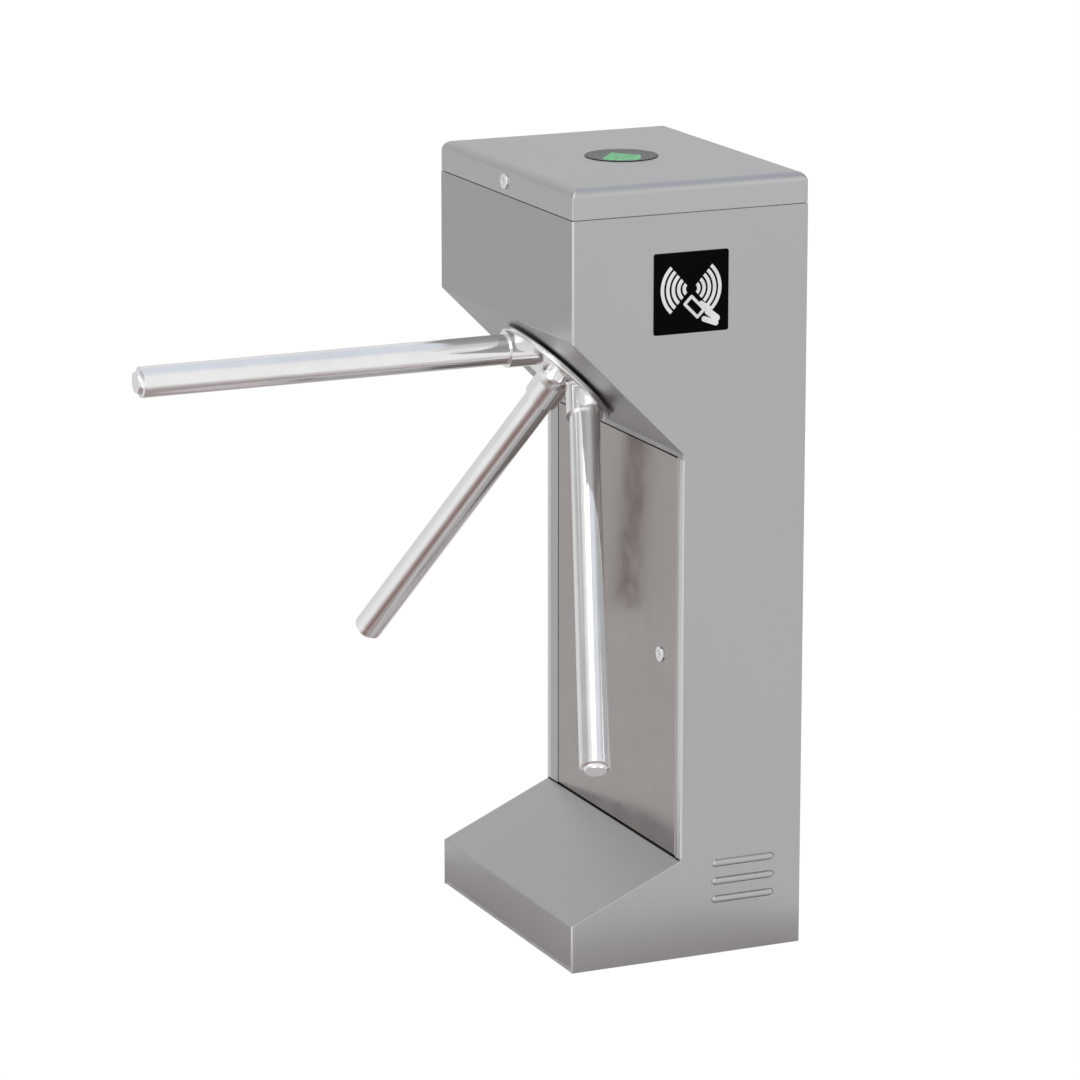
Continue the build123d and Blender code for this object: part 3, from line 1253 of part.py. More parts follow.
with BuildPart() as solenoid_bracket:
    bracket_level = SOLENOID_LEVEL + SOLENOID_SIZE / 2
    with BuildSketch(HUB.offset(bracket_level)):
        with Locations((0, SOLENOID_Y)):
            Rectangle(2 * SOLENOID_OUTER, BRACKET_WIDTH)
    extrude(amount=BRACKET)
    leg_offset = (BRACKET_WIDTH - BRACKET) / 2
    with BuildSketch(HUB.offset(bracket_level + BRACKET)):
        with Locations((0, SOLENOID_Y - leg_offset), (0, SOLENOID_Y + leg_offset)):
            Rectangle(2 * SOLENOID_OUTER, BRACKET)
    extrude(amount=PLATE_BACK - bracket_level - BRACKET)
solenoid_bracket.part.label = "solenoid_bracket"
export_step(solenoid_bracket.part, "parts/solenoid_bracket.step")

with BuildPart() as pawl_pivots:
    # spacers that keep each pawl at its level, and the pins through them
    hub_rod(PIVOTS, PIVOT_SPACER, PAWL_HIGH + 0.3, PLATE_BACK)
    hub_rod(PIVOTS, PIVOT_SPACER, REAR_FACE, PAWL_LOW - 0.3)
    hub_rod(PIVOTS, PIVOT_PIN + 0.05, REAR_BACK, PLATE_FACE, Mode.SUBTRACT)
    hub_rod(PIVOTS, PIVOT_PIN, REAR_BACK, PLATE_FACE)
pawl_pivots.part.label = "pawl_pivots"
export_step(pawl_pivots.part, "parts/pawl_pivots.step")

# ---------------------------------------------------------------- electrical equipment in the column
EQUIPMENT_X = 145.0
EQUIPMENT_BOTTOM = 210.0
EQUIPMENT_TOP = 590.0
EQUIPMENT_WIDTH = 260.0
PLATE = 2.0
SUPPLY_Y = -30.0
SUPPLY_Z = 300.0
SUPPLY_SIZE = (110.0, 130.0)
SUPPLY_DEPTH = 42.0
TERMINAL_Y = 48.0
TERMINAL_PITCH = 9.0
TERMINAL_SIZE = (8.6, 40.0)
TERMINAL_COUNT = 8
BOARD_Z = 480.0
BOARD_GAP = 10.0
BOARD_SIZE = (176.0, 116.0)
BOARD_X = EQUIPMENT_X - BOARD_GAP
BOARD_FACE = BOARD_X - BOARD
BOARD_SPOTS = [(y, z) for y in (-82, 82) for z in (BOARD_Z - 52, BOARD_Z + 52)]
PLUG_SPACING = 32.0

with BuildPart() as equipment_plate:
    with BuildSketch(Plane.XY.offset(EQUIPMENT_BOTTOM)):
        with Locations((EQUIPMENT_X, 0)):
            Rectangle(PLATE, EQUIPMENT_WIDTH, align=(Align.MIN, Align.CENTER))
        edge = (EQUIPMENT_WIDTH - PLATE) / 2
        with Locations((EQUIPMENT_X, -edge), (EQUIPMENT_X, edge)):
            Rectangle(BACK - SHEET - EQUIPMENT_X, PLATE, align=(Align.MIN, Align.CENTER))
    extrude(amount=EQUIPMENT_TOP - EQUIPMENT_BOTTOM)
    with BuildSketch(Plane.YZ.offset(EQUIPMENT_X)):
        with Locations(*BOARD_SPOTS):
            Circle(3)
    extrude(amount=-BOARD_GAP)
equipment_plate.part.label = "equipment_plate"
export_step(equipment_plate.part, "parts/equipment_plate.step")

with BuildPart() as power_supply:
    with BuildSketch(Plane.YZ.offset(EQUIPMENT_X)):
        with Locations((SUPPLY_Y, SUPPLY_Z)):
            Rectangle(*SUPPLY_SIZE)
    extrude(amount=-SUPPLY_DEPTH)
    with BuildSketch(Plane.YZ.offset(EQUIPMENT_X - SUPPLY_DEPTH)):
        with Locations((SUPPLY_Y, SUPPLY_Z)):
            with GridLocations(14, 10, 6, 7):
                SlotOverall(9, 4)
    extrude(amount=3, mode=Mode.SUBTRACT)
power_supply.part.label = "power_supply"
export_step(power_supply.part, "parts/power_supply.step")

with BuildPart() as terminal_block:
    terminals = [(TERMINAL_Y + TERMINAL_PITCH * number, SUPPLY_Z) for number in range(TERMINAL_COUNT)]
    with BuildSketch(Plane.YZ.offset(EQUIPMENT_X)):
        with Locations(*terminals):
            Rectangle(*TERMINAL_SIZE)
    extrude(amount=-26)
terminal_block.part.label = "terminal_block"
export_step(terminal_block.part, "parts/terminal_block.step")


def board_row(width, height, depth, spots):
    """Rectangular components of one size on the control board, at (y, z) from its middle."""
    with BuildSketch(Plane.YZ.offset(BOARD_FACE)) as profile:
        with Locations(*[(y, BOARD_Z + z) for y, z in spots]):
            Rectangle(width, height)
    extrude(profile.sketch, amount=-depth)


with BuildPart() as control_board:
    with BuildSketch(Plane.YZ.offset(BOARD_X)):
        with Locations((0, BOARD_Z)):
            Rectangle(*BOARD_SIZE)
    extrude(amount=-BOARD)
    plugs = [(PLUG_SPACING * step, z) for step in range(-2, 3) for z in (-48, 48)]
    relays = [(y, 10) for y in (32, 52, 72)]
    board_row(29, 11, 12, plugs)
    board_row(16, 28, 15, relays)
    board_row(24, 24, 2.5, [(-10, 0)])
    with BuildSketch(Plane.YZ.offset(BOARD_FACE)):
        with Locations((-60, BOARD_Z + 5)):
            with GridLocations(18, 20, 2, 2):
                Circle(6)
    extrude(amount=-18)
control_board.part.label = "control_board"
export_step(control_board.part, "parts/control_board.step")
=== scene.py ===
"""Visual model of the tripod turnstile, built around its CAD parts and in their frame, in metres."""
import bmesh
import bpy
from math import cos, pi, radians, sin
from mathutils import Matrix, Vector


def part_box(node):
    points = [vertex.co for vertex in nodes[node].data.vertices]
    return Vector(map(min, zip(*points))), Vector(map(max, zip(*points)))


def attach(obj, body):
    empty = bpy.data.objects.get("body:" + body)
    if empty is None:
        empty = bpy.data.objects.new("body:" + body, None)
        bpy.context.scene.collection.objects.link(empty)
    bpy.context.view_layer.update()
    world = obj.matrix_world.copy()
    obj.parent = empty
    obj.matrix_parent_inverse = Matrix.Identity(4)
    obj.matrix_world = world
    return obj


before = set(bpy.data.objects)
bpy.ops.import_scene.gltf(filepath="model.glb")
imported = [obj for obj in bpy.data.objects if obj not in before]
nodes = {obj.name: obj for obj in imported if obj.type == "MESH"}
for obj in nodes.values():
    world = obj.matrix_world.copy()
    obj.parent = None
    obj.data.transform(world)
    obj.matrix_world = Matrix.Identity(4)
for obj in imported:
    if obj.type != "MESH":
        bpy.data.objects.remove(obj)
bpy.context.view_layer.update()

MM = 0.001
scene = bpy.context.scene

# ---------------------------------------------------------------- camera
CAMERA_AZIMUTH = radians(-24.13)
CAMERA_ELEVATION = radians(13.88)
CAMERA_DISTANCE = 5.95
CAMERA_AIM = Vector((-0.2205, -0.2463, 0.5686))
CAMERA_LENS = 166.1
CAMERA_SENSOR = 36


def add_camera():
    """Long lens from in front, a little to the left and above."""
    back = Vector((
        sin(CAMERA_AZIMUTH) * cos(CAMERA_ELEVATION),
        -cos(CAMERA_AZIMUTH) * cos(CAMERA_ELEVATION),
        sin(CAMERA_ELEVATION),
    ))
    data = bpy.data.cameras.new("camera")
    data.lens = CAMERA_LENS
    data.sensor_width = CAMERA_SENSOR
    data.clip_end = 50
    camera = bpy.data.objects.new("camera", data)
    camera.location = CAMERA_AIM + back * CAMERA_DISTANCE
    camera.rotation_euler = back.to_track_quat("Z", "Y").to_euler()
    scene.collection.objects.link(camera)
    scene.camera = camera


# ---------------------------------------------------------------- studio
WHITE = (1, 1, 1, 1)
FLOOR_RADIUS = 0.36
FLOOR_DROP = 0.5 * MM
FLOOR_COLOUR = (0.70, 0.65, 0.64)
LIGHT_AIM = (0, 0, 0.6)
WORLD_BASE = (0.92, 0.92, 0.925)
WORLD_WINDOWS = [
    # direction, degrees off it where the window is full and where it has faded, colour added there
    ((0.3, 0.1, 0.95), 20, 46, (-0.18, -0.14, -0.06)),
    ((1.0, -0.05, 0.35), 12, 48, (-0.46, -0.46, -0.45)),
    ((-0.8, 0.45, 0.45), 10, 38, (-0.40, -0.40, -0.39)),
    ((0.05, 1.0, -0.05), 15, 55, (-0.18, -0.18, -0.18)),
    ((-0.886, -0.397, -0.24), 9, 26, (0.62, 0.62, 0.65)),
    ((-0.71, -0.12, -0.69), 6, 20, (-0.16, -0.20, -0.21)),
    ((0.397, -0.886, -0.1), 12, 60, (0.03, 0.03, 0.03)),
    ((0.0, 0.0, -1.0), 34, 71, (-0.52, -0.57, -0.58)),
]


def add_world():
    """White to the eye, and soft studio windows and darker walls in reflections."""
    world = bpy.data.worlds.new("studio")
    scene.world = world
    world.use_nodes = True
    tree = world.node_tree
    tree.nodes.clear()
    spot = tree.nodes.new("ShaderNodeTexCoord").outputs["Generated"]
    total = None
    for direction, full, faded, colour in WORLD_WINDOWS:
        dot = tree.nodes.new("ShaderNodeVectorMath")
        dot.operation = "DOT_PRODUCT"
        tree.links.new(spot, dot.inputs[0])
        dot.inputs[1].default_value = Vector(direction).normalized()
        fade = tree.nodes.new("ShaderNodeMapRange")
        fade.interpolation_type = "SMOOTHSTEP"
        fade.inputs["From Min"].default_value = cos(radians(faded))
        fade.inputs["From Max"].default_value = cos(radians(full))
        tree.links.new(dot.outputs["Value"], fade.inputs["Value"])
        tint = tree.nodes.new("ShaderNodeVectorMath")
        tint.operation = "SCALE"
        tint.inputs[0].default_value = colour
        tree.links.new(fade.outputs["Result"], tint.inputs["Scale"])
        plus = tree.nodes.new("ShaderNodeVectorMath")
        plus.operation = "ADD"
        if total is None:
            plus.inputs[0].default_value = WORLD_BASE
        else:
            tree.links.new(total, plus.inputs[0])
        tree.links.new(tint.outputs["Vector"], plus.inputs[1])
        total = plus.outputs["Vector"]
    seen = tree.nodes.new("ShaderNodeBackground")
    seen.inputs["Color"].default_value = WHITE
    reflected = tree.nodes.new("ShaderNodeBackground")
    tree.links.new(total, reflected.inputs["Color"])
    path = tree.nodes.new("ShaderNodeLightPath")
    mix = tree.nodes.new("ShaderNodeMixShader")
    tree.links.new(path.outputs["Is Camera Ray"], mix.inputs["Fac"])
    tree.links.new(reflected.outputs["Background"], mix.inputs[1])
    tree.links.new(seen.outputs["Background"], mix.inputs[2])
    out = tree.nodes.new("ShaderNodeOutputWorld")
    tree.links.new(mix.outputs["Shader"], out.inputs["Surface"])
    scene.view_settings.view_transform = "Standard"
    scene.view_settings.look = "None"


def add_floor():
    """Pale round floor, white to the eye and a softer warm grey in reflections."""
    mesh = bpy.data.meshes.new("floor")
    build = bmesh.new()
    bmesh.ops.create_circle(build, cap_ends=True, segments=96, radius=FLOOR_RADIUS)
    build.to_mesh(mesh)
    build.free()
    floor = bpy.data.objects.new("floor", mesh)
    floor.location.z = -FLOOR_DROP
    scene.collection.objects.link(floor)
    material = bpy.data.materials.new("floor")
    material.use_nodes = True
    tree = material.node_tree
    shader = tree.nodes["Principled BSDF"]
    shader.inputs["Base Color"].default_value = (*FLOOR_COLOUR, 1)
    shader.inputs["Roughness"].default_value = 0.9
    glow = tree.nodes.new("ShaderNodeEmission")
    glow.inputs["Color"].default_value = WHITE
    path = tree.nodes.new("ShaderNodeLightPath")
    mix = tree.nodes.new("ShaderNodeMixShader")
    tree.links.new(path.outputs["Is Camera Ray"], mix.inputs["Fac"])
    tree.links.new(shader.outputs["BSDF"], mix.inputs[1])
    tree.links.new(glow.outputs["Emission"], mix.inputs[2])
    tree.links.new(mix.outputs["Shader"], tree.nodes["Material Output"].inputs["Surface"])
    mesh.materials.append(material)


def add_area(name, location, size, power):
    """Square soft white light aimed at the middle of the object."""
    data = bpy.data.lights.new(name, "AREA")
    data.shape = "SQUARE"
    data.size = size
    data.energy = power
    light = bpy.data.objects.new(name, data)
    light.location = location
    away = Vector(location) - Vector(LIGHT_AIM)
    light.rotation_euler = away.to_track_quat("Z", "Y").to_euler()
    scene.collection.objects.link(light)


def add_lights():
    """Large soft key from the front left, a weaker fill from the right and a small one overhead."""
    add_area("key", (-2.4, -3.2, 3.0), size=2.2, power=26)
    add_area("fill", (3.0, -2.6, 2.0), size=2.2, power=10)
    add_area("top", (-0.75, -1.15, 3.2), size=1.5, power=7)


# ---------------------------------------------------------------- material helpers
class Recipe:
    """A Principled material with helpers for procedural detail."""

    def __init__(self, name, colour, **values):
        self.material = bpy.data.materials.new(name)
        self.material.use_nodes = True
        self.tree = self.material.node_tree
        self.shader = self.tree.nodes["Principled BSDF"]
        self.shader.inputs["Base Color"].default_value = (*colour, 1)
        for socket, value in values.items():
            self.shader.inputs[socket.replace("_", " ")].default_value = value
        self.place = self.tree.nodes.new("ShaderNodeTexCoord").outputs["Object"]

    def noise(self, scale, detail=3.0, rough=0.5, offset=0.0):
        """Noise in metres; scale is one number or one for each axis, and offset tells two noises apart."""
        if isinstance(scale, (int, float)):
            scale = (scale, scale, scale)
        mapping = self.tree.nodes.new("ShaderNodeMapping")
        mapping.inputs["Scale"].default_value = scale
        mapping.inputs["Location"].default_value = (offset, offset * 1.7, offset * 0.6)
        self.tree.links.new(self.place, mapping.inputs["Vector"])
        noise = self.tree.nodes.new("ShaderNodeTexNoise")
        noise.inputs["Scale"].default_value = 1.0
        noise.inputs["Detail"].default_value = detail
        noise.inputs["Roughness"].default_value = rough
        self.tree.links.new(mapping.outputs["Vector"], noise.inputs["Vector"])
        return noise.outputs["Fac"]

    def span(self, value, low, high, start=0.3, end=0.7):
        """Map a value that lies between start and end to a range; noise lies mostly between 0.3 and 0.7."""
        node = self.tree.nodes.new("ShaderNodeMapRange")
        node.inputs["From Min"].default_value = start
        node.inputs["From Max"].default_value = end
        node.inputs["To Min"].default_value = low
        node.inputs["To Max"].default_value = high
        self.tree.links.new(value, node.inputs["Value"])
        return node.outputs["Result"]

    def calculate(self, operation, *values):
        """Math node, where a number is set on its socket and an output is linked to it."""
        node = self.tree.nodes.new("ShaderNodeMath")
        node.operation = operation
        for socket, value in zip(node.inputs, values):
            if isinstance(value, (int, float)):
                socket.default_value = value
            else:
                self.tree.links.new(value, socket)
        return node.outputs["Value"]

    def beyond(self, value, limit):
        """1 where a value is above a limit and 0 elsewhere."""
        return self.calculate("GREATER_THAN", value, limit)

    def under(self, value, limit):
        """1 where a value is below a limit and 0 elsewhere."""
        return self.calculate("LESS_THAN", value, limit)

    def close_to(self, value, middle, reach):
        """1 where a value is within reach of another and 0 elsewhere."""
        return self.calculate("COMPARE", value, middle, reach)

    def either(self, first, second):
        """Larger of two values."""
        return self.calculate("MAXIMUM", first, second)

    def both(self, first, second):
        """Product of two values."""
        return self.calculate("MULTIPLY", first, second)

    def add(self, first, second):
        """Sum of two values."""
        return self.calculate("ADD", first, second)

    def axes(self):
        """X, Y and Z in metres."""
        node = self.tree.nodes.new("ShaderNodeSeparateXYZ")
        self.tree.links.new(self.place, node.inputs["Vector"])
        return node.outputs["X"], node.outputs["Y"], node.outputs["Z"]

    def cover(self, where, colour):
        """Lay a second colour over the base colour where a value is 1."""
        node = self.tree.nodes.new("ShaderNodeMix")
        node.data_type = "RGBA"
        beneath = self.shader.inputs["Base Color"].links[0].from_socket
        self.tree.links.new(beneath, node.inputs["A"])
        node.inputs["B"].default_value = (*colour, 1)
        self.tree.links.new(where, node.inputs["Factor"])
        self.tree.links.new(node.outputs["Result"], self.shader.inputs["Base Color"])

    def tint(self, value, dark, light):
        """Base colour between two by a 0 to 1 value."""
        node = self.tree.nodes.new("ShaderNodeMix")
        node.data_type = "RGBA"
        node.inputs["A"].default_value = (*dark, 1)
        node.inputs["B"].default_value = (*light, 1)
        self.tree.links.new(value, node.inputs["Factor"])
        self.tree.links.new(node.outputs["Result"], self.shader.inputs["Base Color"])

    def roughness(self, value):
        """Let a value set the roughness."""
        self.tree.links.new(value, self.shader.inputs["Roughness"])

    def bump(self, value, depth):
        """Let a value raise the surface by up to a depth in metres."""
        node = self.tree.nodes.new("ShaderNodeBump")
        node.inputs["Strength"].default_value = 1.0
        node.inputs["Distance"].default_value = depth
        self.tree.links.new(value, node.inputs["Height"])
        self.tree.links.new(node.outputs["Normal"], self.shader.inputs["Normal"])


def scaled(colour, amount):
    """A colour made lighter or darker."""
    return tuple(channel * amount for channel in colour)


GRAIN = 1900
GRAIN_LENGTH = 70
STREAK_WIDTH = 3.7
GRAIN_DEPTH = 0.003 * MM
PAIR_LOW, PAIR_HIGH = 0.7, 1.3  # between which the sum of two noises mostly lies


def brushed(name, colour, along, roughness):
    """Sheet with hairline grain along one axis (0 X, 1 Y, 2 Z) and soft clouding."""
    recipe = Recipe(name, colour, Metallic=1.0)
    stretch = [GRAIN, GRAIN, GRAIN]
    stretch[along] = GRAIN / GRAIN_LENGTH
    fine = recipe.noise(tuple(stretch), detail=3, rough=0.6)
    streak = recipe.noise(tuple(value / STREAK_WIDTH for value in stretch), detail=2, offset=3.1)
    cloud = recipe.noise(4.5, detail=3, offset=7.7)
    shade = recipe.span(recipe.add(fine, cloud), 0, 1, PAIR_LOW, PAIR_HIGH)
    recipe.tint(shade, scaled(colour, 0.965), scaled(colour, 1.03))
    lines = recipe.span(recipe.add(fine, streak), roughness - 0.035, roughness + 0.035, PAIR_LOW, PAIR_HIGH)
    recipe.roughness(recipe.add(lines, recipe.span(cloud, -0.03, 0.03)))
    recipe.bump(fine, GRAIN_DEPTH)
    return recipe


# Painted highlight: a light colour on the side panels' folded edges at the head corner and beside the
# access panel, where the rounded folds would catch the studio light.
EDGE_HIGHLIGHT = (0.66, 0.66, 0.665)
HIGHLIGHT_ON_SIDE = 2.6 * MM
HIGHLIGHT_ON_FRONT = 9.0 * MM


def highlighted_sheet(name, colour, along, roughness):
    """Hairline sheet with a painted highlight laid along its folded upright edges."""
    recipe = brushed(name, colour, along, roughness)
    across, lengthways, up = recipe.axes()
    lid_low, lid_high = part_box("lid")
    panel_low, panel_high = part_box("access_panel")
    panel_middle = (panel_low.z + panel_high.z) / 2
    head_edge = recipe.close_to(across, lid_low.x, HIGHLIGHT_ON_SIDE)
    beside_panel = recipe.close_to(up, panel_middle, (panel_high.z - panel_low.z) / 2)
    column_edge = recipe.both(recipe.close_to(across, panel_low.x, HIGHLIGHT_ON_SIDE), beside_panel)
    reader_end = recipe.close_to(lengthways, lid_low.y, HIGHLIGHT_ON_FRONT)
    far_end = recipe.close_to(lengthways, lid_high.y, HIGHLIGHT_ON_FRONT)
    ends = recipe.either(reader_end, far_end)
    # Paint the highlight colour over the sheet along the head corner and beside the access panel, near both
    # ends.
    recipe.cover(recipe.both(recipe.either(head_edge, column_edge), ends), EDGE_HIGHLIGHT)
    return recipe.material


def polished(name, colour, roughness, wave=0.03 * MM, wave_scale=14):
    """Mirror polish with hairline scratches, faint smears and a little waviness."""
    recipe = Recipe(name, colour, Metallic=1.0)
    scratch = recipe.noise(110, detail=3, rough=0.6)
    smear = recipe.noise(22, detail=4, rough=0.6, offset=5.3)
    ripple = recipe.noise(wave_scale, detail=1, offset=1.9)
    recipe.tint(recipe.span(smear, 0, 1), scaled(colour, 0.95), scaled(colour, 1.03))
    haze = recipe.span(smear, roughness * 0.7, roughness * 1.5)
    recipe.roughness(recipe.add(haze, recipe.span(scratch, 0, roughness * 0.3, 0.5, 0.8)))
    recipe.bump(ripple, wave)
    return recipe.material


TOOL_MARKS = (1500, 300, 1500)
TOOL_MARK_DEPTH = 0.01 * MM


def machined(name, colour, roughness):
    """Turned or milled metal with tool marks."""
    recipe = Recipe(name, colour, Metallic=1.0)
    marks = recipe.noise(TOOL_MARKS, detail=3)
    stain = recipe.noise(30, detail=3, offset=2.2)
    recipe.tint(recipe.span(stain, 0, 1), scaled(colour, 0.85), scaled(colour, 1.06))
    lines = recipe.span(marks, roughness - 0.08, roughness + 0.08)
    recipe.roughness(recipe.add(lines, recipe.span(stain, -0.05, 0.05)))
    recipe.bump(marks, TOOL_MARK_DEPTH)
    return recipe.material


def moulded(name, colour, roughness, texture=2500, depth=0.015 * MM, **values):
    """Moulded plastic, rubber or paint with a fine skin."""
    recipe = Recipe(name, colour, **values)
    skin = recipe.noise(texture, detail=2)
    cloud = recipe.noise(18, detail=3, offset=4.4)
    recipe.tint(recipe.span(cloud, 0, 1), scaled(colour, 0.88), scaled(colour, 1.1))
    grain = recipe.span(skin, roughness - 0.06, roughness + 0.06)
    recipe.roughness(recipe.add(grain, recipe.span(cloud, -0.04, 0.04)))
    recipe.bump(skin, depth)
    return recipe.material


SHEET = (0.452, 0.449, 0.452)
MATERIALS = {
    "sheet_side": highlighted_sheet("sheet_side", SHEET, 2, 0.36),
    "sheet_upright": brushed("sheet_upright", SHEET, 2, 0.36).material,
    # sheet_lid is the same sheet made a little lighter, a painted light on the lid, and sheet_head the same
    # sheet made darker, a painted shade on the head front.
    "sheet_lid": brushed("sheet_lid", (0.475, 0.472, 0.477), 1, 0.36).material,
    "sheet_head": brushed("sheet_head", (0.385, 0.383, 0.385), 1, 0.32).material,
    # The access panel's dark brownish base colour is a painted reflection of the brownish surroundings in
    # its mirror finish.
    "panel_mirror": polished("panel_mirror", (0.375, 0.343, 0.325), 0.13, wave=0.06 * MM, wave_scale=9),
    "polished": polished("polished", (0.86, 0.855, 0.85), 0.10),
    "chrome": polished("chrome", (0.80, 0.80, 0.80), 0.05),
    "zinc": machined("zinc", (0.68, 0.70, 0.71), 0.38),
    "steel": machined("steel", (0.62, 0.62, 0.63), 0.28),
    "aluminium": machined("aluminium", (0.82, 0.83, 0.84), 0.36),
    "rubber": moulded("rubber", (0.022, 0.022, 0.023), 0.68),
    "black_plastic": moulded("black_plastic", (0.03, 0.03, 0.033), 0.46),
    "grey_plastic": moulded("grey_plastic", (0.40, 0.41, 0.42), 0.48),
    "black_metal": moulded("black_metal", (0.035, 0.035, 0.038), 0.38),
    "window": moulded(
        "window", (0.0015, 0.0015, 0.0017), 0.09, texture=60, depth=0.002 * MM, Specular_IOR_Level=0.025
    ),
    "print": moulded("print", (0.72, 0.72, 0.72), 0.35),
}


def smoked_lens():
    """Dark see-through acrylic."""
    recipe = Recipe("smoked_lens", (0.17, 0.21, 0.185), Transmission_Weight=0.95, IOR=1.12)
    smear = recipe.noise(40, detail=3)
    recipe.roughness(recipe.span(smear, 0.03, 0.12))
    return recipe.material


def green_light():
    """Lit green diffuser with the lamps showing faintly through."""
    recipe = Recipe("green_light", (0.05, 0.45, 0.16), Emission_Strength=4.2)
    lamps = recipe.noise(160, detail=1)
    node = recipe.tree.nodes.new("ShaderNodeMix")
    node.data_type = "RGBA"
    node.inputs["A"].default_value = (0.02, 0.42, 0.12, 1)
    node.inputs["B"].default_value = (0.10, 0.80, 0.30, 1)
    recipe.tree.links.new(recipe.span(lamps, 0, 1), node.inputs["Factor"])
    recipe.tree.links.new(node.outputs["Result"], recipe.shader.inputs["Emission Color"])
    return recipe.material


LACQUER_THICK = 1.8 * MM
TRACK_DEPTH = 0.01 * MM
PLUG_ROW = 40 * MM
RELAYS_FROM = 20 * MM
CAPACITORS_FROM = 40 * MM
CAPACITOR_TOP = 19 * MM


def lacquer(name):
    """Green circuit board with faint copper tracks under its lacquer."""
    recipe = Recipe(name, (0.015, 0.14, 0.055), Roughness=0.33)
    track = recipe.noise(330, detail=2)
    recipe.tint(recipe.span(track, 0, 1, 0.48, 0.53), (0.008, 0.09, 0.036), (0.03, 0.20, 0.085))
    recipe.bump(track, TRACK_DEPTH)
    return recipe


def control_board_material():
    """Circuit board whose chip, relays, capacitors and plugs each have their own colour."""
    recipe = lacquer("control_board")
    low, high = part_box("control_board")
    across, along, up = recipe.axes()
    middle = (low + high) / 2
    proud = recipe.under(across, high.x - LACQUER_THICK)
    recipe.cover(proud, (0.018, 0.018, 0.02))
    recipe.cover(recipe.both(proud, recipe.beyond(along, middle.y + RELAYS_FROM)), (0.02, 0.05, 0.22))
    recipe.cover(recipe.both(proud, recipe.under(along, middle.y - CAPACITORS_FROM)), (0.03, 0.035, 0.06))
    recipe.cover(recipe.under(across, high.x - CAPACITOR_TOP), (0.6, 0.61, 0.62))
    plugs = (0.03, 0.32, 0.11)
    recipe.cover(recipe.both(proud, recipe.beyond(up, middle.z + PLUG_ROW)), plugs)
    recipe.cover(recipe.both(proud, recipe.under(up, middle.z - PLUG_ROW)), plugs)
    return recipe.material


def lamp_board_material():
    """Circuit board with pale lamps on top."""
    recipe = lacquer("lamp_board")
    up = recipe.axes()[2]
    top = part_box("indicator_board")[1].z
    recipe.cover(recipe.beyond(up, top - LACQUER_THICK), (0.75, 0.74, 0.60))
    return recipe.material


MATERIALS["control_board"] = control_board_material()
MATERIALS["lamp_board"] = lamp_board_material()
MATERIALS["smoked_lens"] = smoked_lens()
MATERIALS["green_light"] = green_light()

# ---------------------------------------------------------------- finish of the CAD nodes
FINISHES = {
    "sheet_side": ["reader_side_panel", "far_side_panel"],
    "sheet_upright": ["back_panel", "foot_cover"],
    "sheet_lid": ["lid"],
    "sheet_head": ["head_front_panel"],
    "panel_mirror": ["access_panel"],
    "polished": [
        "hub", "arm_sockets", "hub_cap", "hub_fixings",
        "arm_tube_1", "arm_tube_2", "arm_tube_3", "arm_end_caps",
    ],
    "chrome": ["lid_lock_body", "panel_lock_body", "lid_lock_cam", "panel_lock_cam"],
    "zinc": [
        "base_plate", "top_rim", "equipment_plate", "solenoid_bracket", "power_supply",
        "lid_hinge_lower_leaves", "lid_hinge_upper_leaves", "lid_hinge_pins",
    ],
    "steel": [
        "main_shaft", "index_disc", "drive_gear", "motor_pinion", "locking_pawl_entry", "locking_pawl_exit",
        "solenoid_plunger_entry", "solenoid_plunger_exit", "pawl_pivots", "shaft_key_and_circlip",
        "mechanism_screws", "bearing_outer_rings", "bearing_inner_rings", "bearing_balls",
    ],
    "aluminium": ["mechanism_plate", "rear_plate", "mechanism_pillars", "bearing_housing", "sensor_disc"],
    "window": ["reader_window"],
    "smoked_lens": ["indicator_lens"],
    "green_light": ["indicator_arrow"],
    "rubber": ["edge_trims", "cable_grommet", "reader_gasket"],
    "black_plastic": ["indicator_housing", "reader_module", "position_sensors"],
    "grey_plastic": ["terminal_block"],
    "control_board": ["control_board"],
    "lamp_board": ["indicator_board"],
    "black_metal": ["drive_motor", "solenoids"],
}
SOFT_EDGE = 0.25
WIDER_EDGE = {"reader_side_panel": 0.35, "far_side_panel": 0.35, "back_panel": 0.35, "hub": 0.8}


def finish_node(node, material):
    """Give a CAD node its material, and smooth its curved faces and break its edges with modifiers."""
    mesh = node.data
    mesh.materials.clear()
    mesh.materials.append(material)
    for polygon in mesh.polygons:
        polygon.use_smooth = True
    if "custom_normal" in mesh.attributes:
        mesh.attributes.remove(mesh.attributes["custom_normal"])
    weld = node.modifiers.new("weld", "WELD")
    weld.merge_threshold = 1e-6
    edge = node.modifiers.new("edge", "BEVEL")
    edge.width = WIDER_EDGE.get(node.name, SOFT_EDGE) * MM
    edge.segments = 2
    edge.limit_method = "ANGLE"
    edge.angle_limit = radians(35)
    edge.use_clamp_overlap = True
    normals = node.modifiers.new("normals", "WEIGHTED_NORMAL")
    normals.keep_sharp = True


for finish, names in FINISHES.items():
    for name in names:
        finish_node(nodes[name], MATERIALS[finish])


# ---------------------------------------------------------------- printed sign on the reader window
def new_piece(name, build, material, body):
    """Turn a bmesh into a piece that rides a body."""
    mesh = bpy.data.meshes.new(name)
    bmesh.ops.recalc_face_normals(build, faces=build.faces)
    build.to_mesh(mesh)
    build.free()
    mesh.materials.append(MATERIALS[material])
    piece = bpy.data.objects.new(name, mesh)
    scene.collection.objects.link(piece)
    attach(piece, body)


window_low, window_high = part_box("reader_window")
SIGN_FACE = window_low.y
SIGN_X = (window_low.x + window_high.x) / 2
SIGN_Z = (window_low.z + window_high.z) / 2
SIGN_THICK = 0.12 * MM
SIGN_STEP = 0.04 * MM  # by which one plate stands over another that it crosses

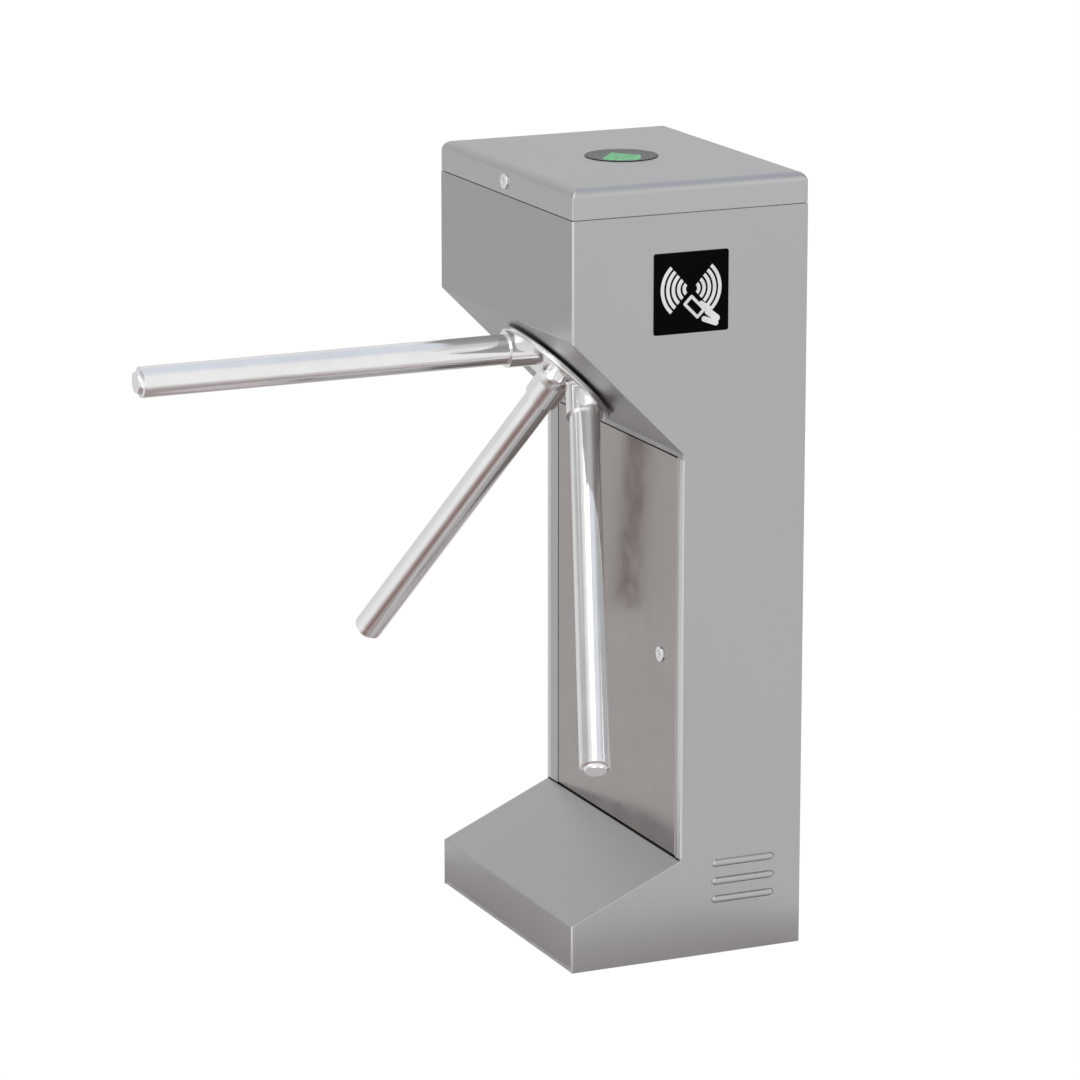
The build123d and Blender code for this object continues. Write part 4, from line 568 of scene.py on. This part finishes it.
# The drawing, in millimetres from the middle of the window, and degrees
FAN_MIDDLES = ((-2, 4.5), (2, 4.5))
FAN_GROWTH = (1.12, 1.09)
FAN_HEADINGS = (180, 0)
FAN_HALF_ANGLE = 48
WAVE_RADII = (5, 11.5, 18, 24.5, 31)
WAVE_WIDTH = 4.1
CARD = ((-9, -14), (8, -31), (17, -22), (0, -5))
CARD_LINE = 1.9
HAND = (((17, -34), (33, -40), 3.4), ((13, -14), (24, -21), 2.6), ((22, -25), (34, -34), 4.2))


def stamp(build, outline, thick=SIGN_THICK):
    """Thin plate on the window with an outline of (x, z) points in millimetres from its centre."""
    front = [build.verts.new((SIGN_X + x * MM, SIGN_FACE - thick, SIGN_Z + z * MM)) for x, z in outline]
    back = [build.verts.new((vert.co.x, SIGN_FACE, vert.co.z)) for vert in front]
    build.faces.new(front)
    build.faces.new(list(reversed(back)))
    count = len(outline)
    for index in range(count):
        after = (index + 1) % count
        build.faces.new((front[index], back[index], back[after], front[after]))


def band(build, centre, inner, outer, start, end, steps=14):
    """Part of a ring between two angles in degrees."""
    turns = [radians(start + (end - start) * step / steps) for step in range(steps + 1)]
    outside = [(centre[0] + outer * cos(turn), centre[1] + outer * sin(turn)) for turn in turns]
    inside = [(centre[0] + inner * cos(turn), centre[1] + inner * sin(turn)) for turn in reversed(turns)]
    stamp(build, outside + inside)


def rounded_bar(build, start, end, radius, thick, steps=8):
    """Bar with round ends."""
    first, last = Vector(start), Vector(end)
    heading = (last - first).angle_signed(Vector((1, 0)))
    points = []
    for middle, base in ((last, heading - pi / 2), (first, heading + pi / 2)):
        for step in range(steps + 1):
            turn = base + pi * step / steps
            points.append((middle.x + radius * cos(turn), middle.y + radius * sin(turn)))
    stamp(build, points, thick)


def add_reader_sign():
    """Two fans of radio waves over a hand that holds up a card, which is drawn as a frame."""
    build = bmesh.new()
    for middle, grow, heading in zip(FAN_MIDDLES, FAN_GROWTH, FAN_HEADINGS):
        start, end = heading - FAN_HALF_ANGLE, heading + FAN_HALF_ANGLE
        for inner in WAVE_RADII:
            band(build, middle, inner * grow, (inner + WAVE_WIDTH) * grow, start, end)
    frame_bars = [(corner, CARD[index - 1], CARD_LINE) for index, corner in enumerate(CARD)]
    for level, (start, end, radius) in enumerate([*HAND, *frame_bars], start=1):
        rounded_bar(build, start, end, radius, SIGN_THICK + level * SIGN_STEP)
    new_piece("reader_sign", build, "print", "cabinet")


add_reader_sign()

add_camera()
add_world()
add_floor()
add_lights()
